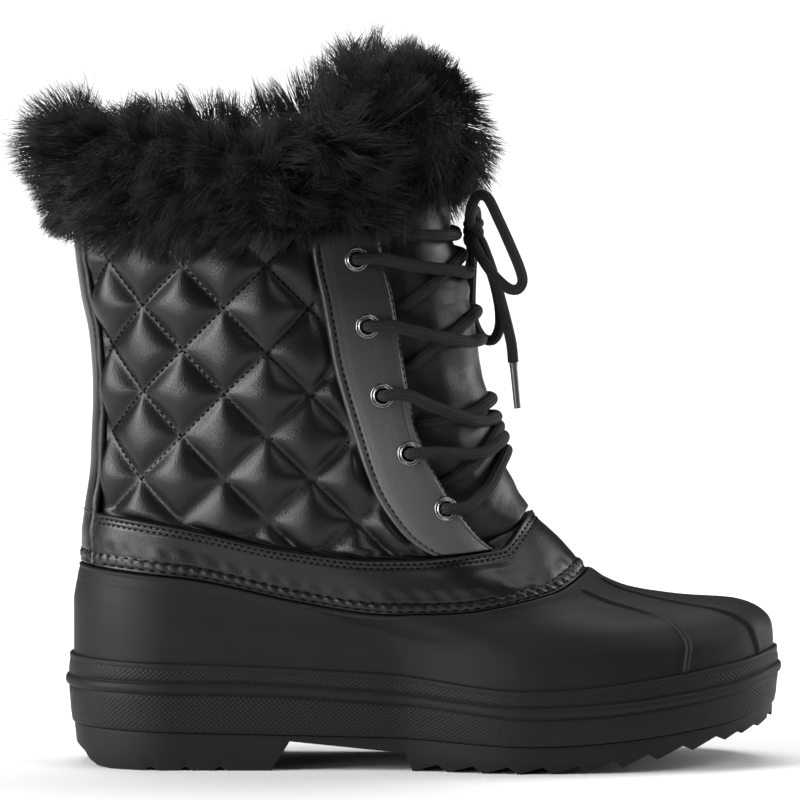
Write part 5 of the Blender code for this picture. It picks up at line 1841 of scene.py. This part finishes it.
def add_bolster(name, surface):
    """Dark body under the strands, its two ends closed by strips of quads across."""
    number = numbered(surface)
    faces = np.concatenate([grid_quads(number), loop_caps(number[0])[:, ::-1], loop_caps(number[-1])])
    return add_piece(name, surface.reshape(-1, 3), faces, FUR_BACKING)


def cuff_length(root):
    """Length of the cuff's strands: shorter at the lower edge, front and back, and longer on top there."""
    front_low = ease((root[:, 0] - 78) / 25) * ease((222 - root[:, 2]) / 12)
    front_top = ease((root[:, 0] - 82) / 28) * ease((root[:, 2] - 234) / 12)
    back_low = ease((22 - root[:, 0]) / 18) * ease((238 - root[:, 2]) / 16)
    back_top = ease((25 - root[:, 0]) / 20) * ease((root[:, 2] - 236) / 10)
    return 1 - .6 * front_low + .45 * front_top - .45 * back_low + .2 * back_top


def tongue_length(root):
    """Length of the tongue's strands: shorter over the bow and on top, longer beside it and at the back."""
    front_low = ease((236 - root[:, 2]) / 14) * ease((root[:, 0] - 143) / 8)
    back_top = ease((130 - root[:, 0]) / 16) * ease((root[:, 2] - 240) / 14)
    side_low = ease((238 - root[:, 2]) / 10) * (1 - ease((root[:, 0] - 143) / 8))
    top = ease((root[:, 2] - 255) / 12)
    front_top = ease((root[:, 0] - 138) / 12) * ease((root[:, 2] - 246) / 10)
    return 1 - .6 * front_low + .15 * back_top + .4 * side_low - .28 * top - .35 * front_top


def cuff_rise(x):
    """The cuff is fuller towards the front and at the back: how far its top is raised there, in mm."""
    return 15 * ease((x - 66) / 40) + 8 * ease((78 - x) / 36)


throat_end = float(throat_half(LEVEL["collar"])) + .004
CUFF_ROWS = 121
CUFF_LOCKS = 300
CUFF_MIDDLE = (72.0, 0.0, 230.0)
cuff_reach = np.linspace(-1, 1, CUFF_ROWS) * (1 - throat_end)
cuff_surface, cuff_shaggy = fur_surface(CUFF_FUR, 0.0, cuff_reach, lambda reach, level: 0.0 * reach, .62)
top_share = cuff_surface[..., 2] - cuff_surface[..., 2].min(axis=1, keepdims=True)
top_share = top_share / top_share.max(axis=1, keepdims=True)
cuff_surface[..., 2] += cuff_rise(cuff_surface[..., 0]) * top_share
cuff_body = add_bolster("fur_cuff_backing", cuff_surface)
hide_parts("fur_cuff")
for name, half, end, seed in (("fur_cuff_outer_side", (0, 60), 0, 11),
                              ("fur_cuff_inner_side", (60, 120), CUFF_ROWS - 1, 12)):
    points, faces, uv = grow(cuff_surface, cuff_shaggy, half, (end,), FUR_COUNT, CUFF_LOCKS, cuff_length,
                             CUFF_MIDDLE, seed)
    strands = add_piece(name, points, faces, FUR, uv, welded=False)

TONGUE_FUR_ROWS = 61
TONGUE_LOCKS = 280
TONGUE_MIDDLE = (134.0, 0.0, 246.0)
tongue_reach = np.linspace(-1, 1, TONGUE_FUR_ROWS) * (throat_end - .045)
tongue_surface, tongue_shaggy = fur_surface(
    TONGUE_FUR, 1.0, tongue_reach, lambda reach, level: tongue_face(reach, np.minimum(level, 13.4)), .78)
tongue_body = add_bolster("tongue_fur_backing", tongue_surface)
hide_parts("tongue_fur")
points, faces, uv = grow(tongue_surface, tongue_shaggy, (0, TONGUE_FUR_ROWS - 1), (0, TONGUE_FUR_ROWS - 1),
                         FUR_COUNT, TONGUE_LOCKS, tongue_length, TONGUE_MIDDLE, 5)
tongue_strands = add_piece("tongue_fur_strands", points, faces, FUR, uv, welded=False)
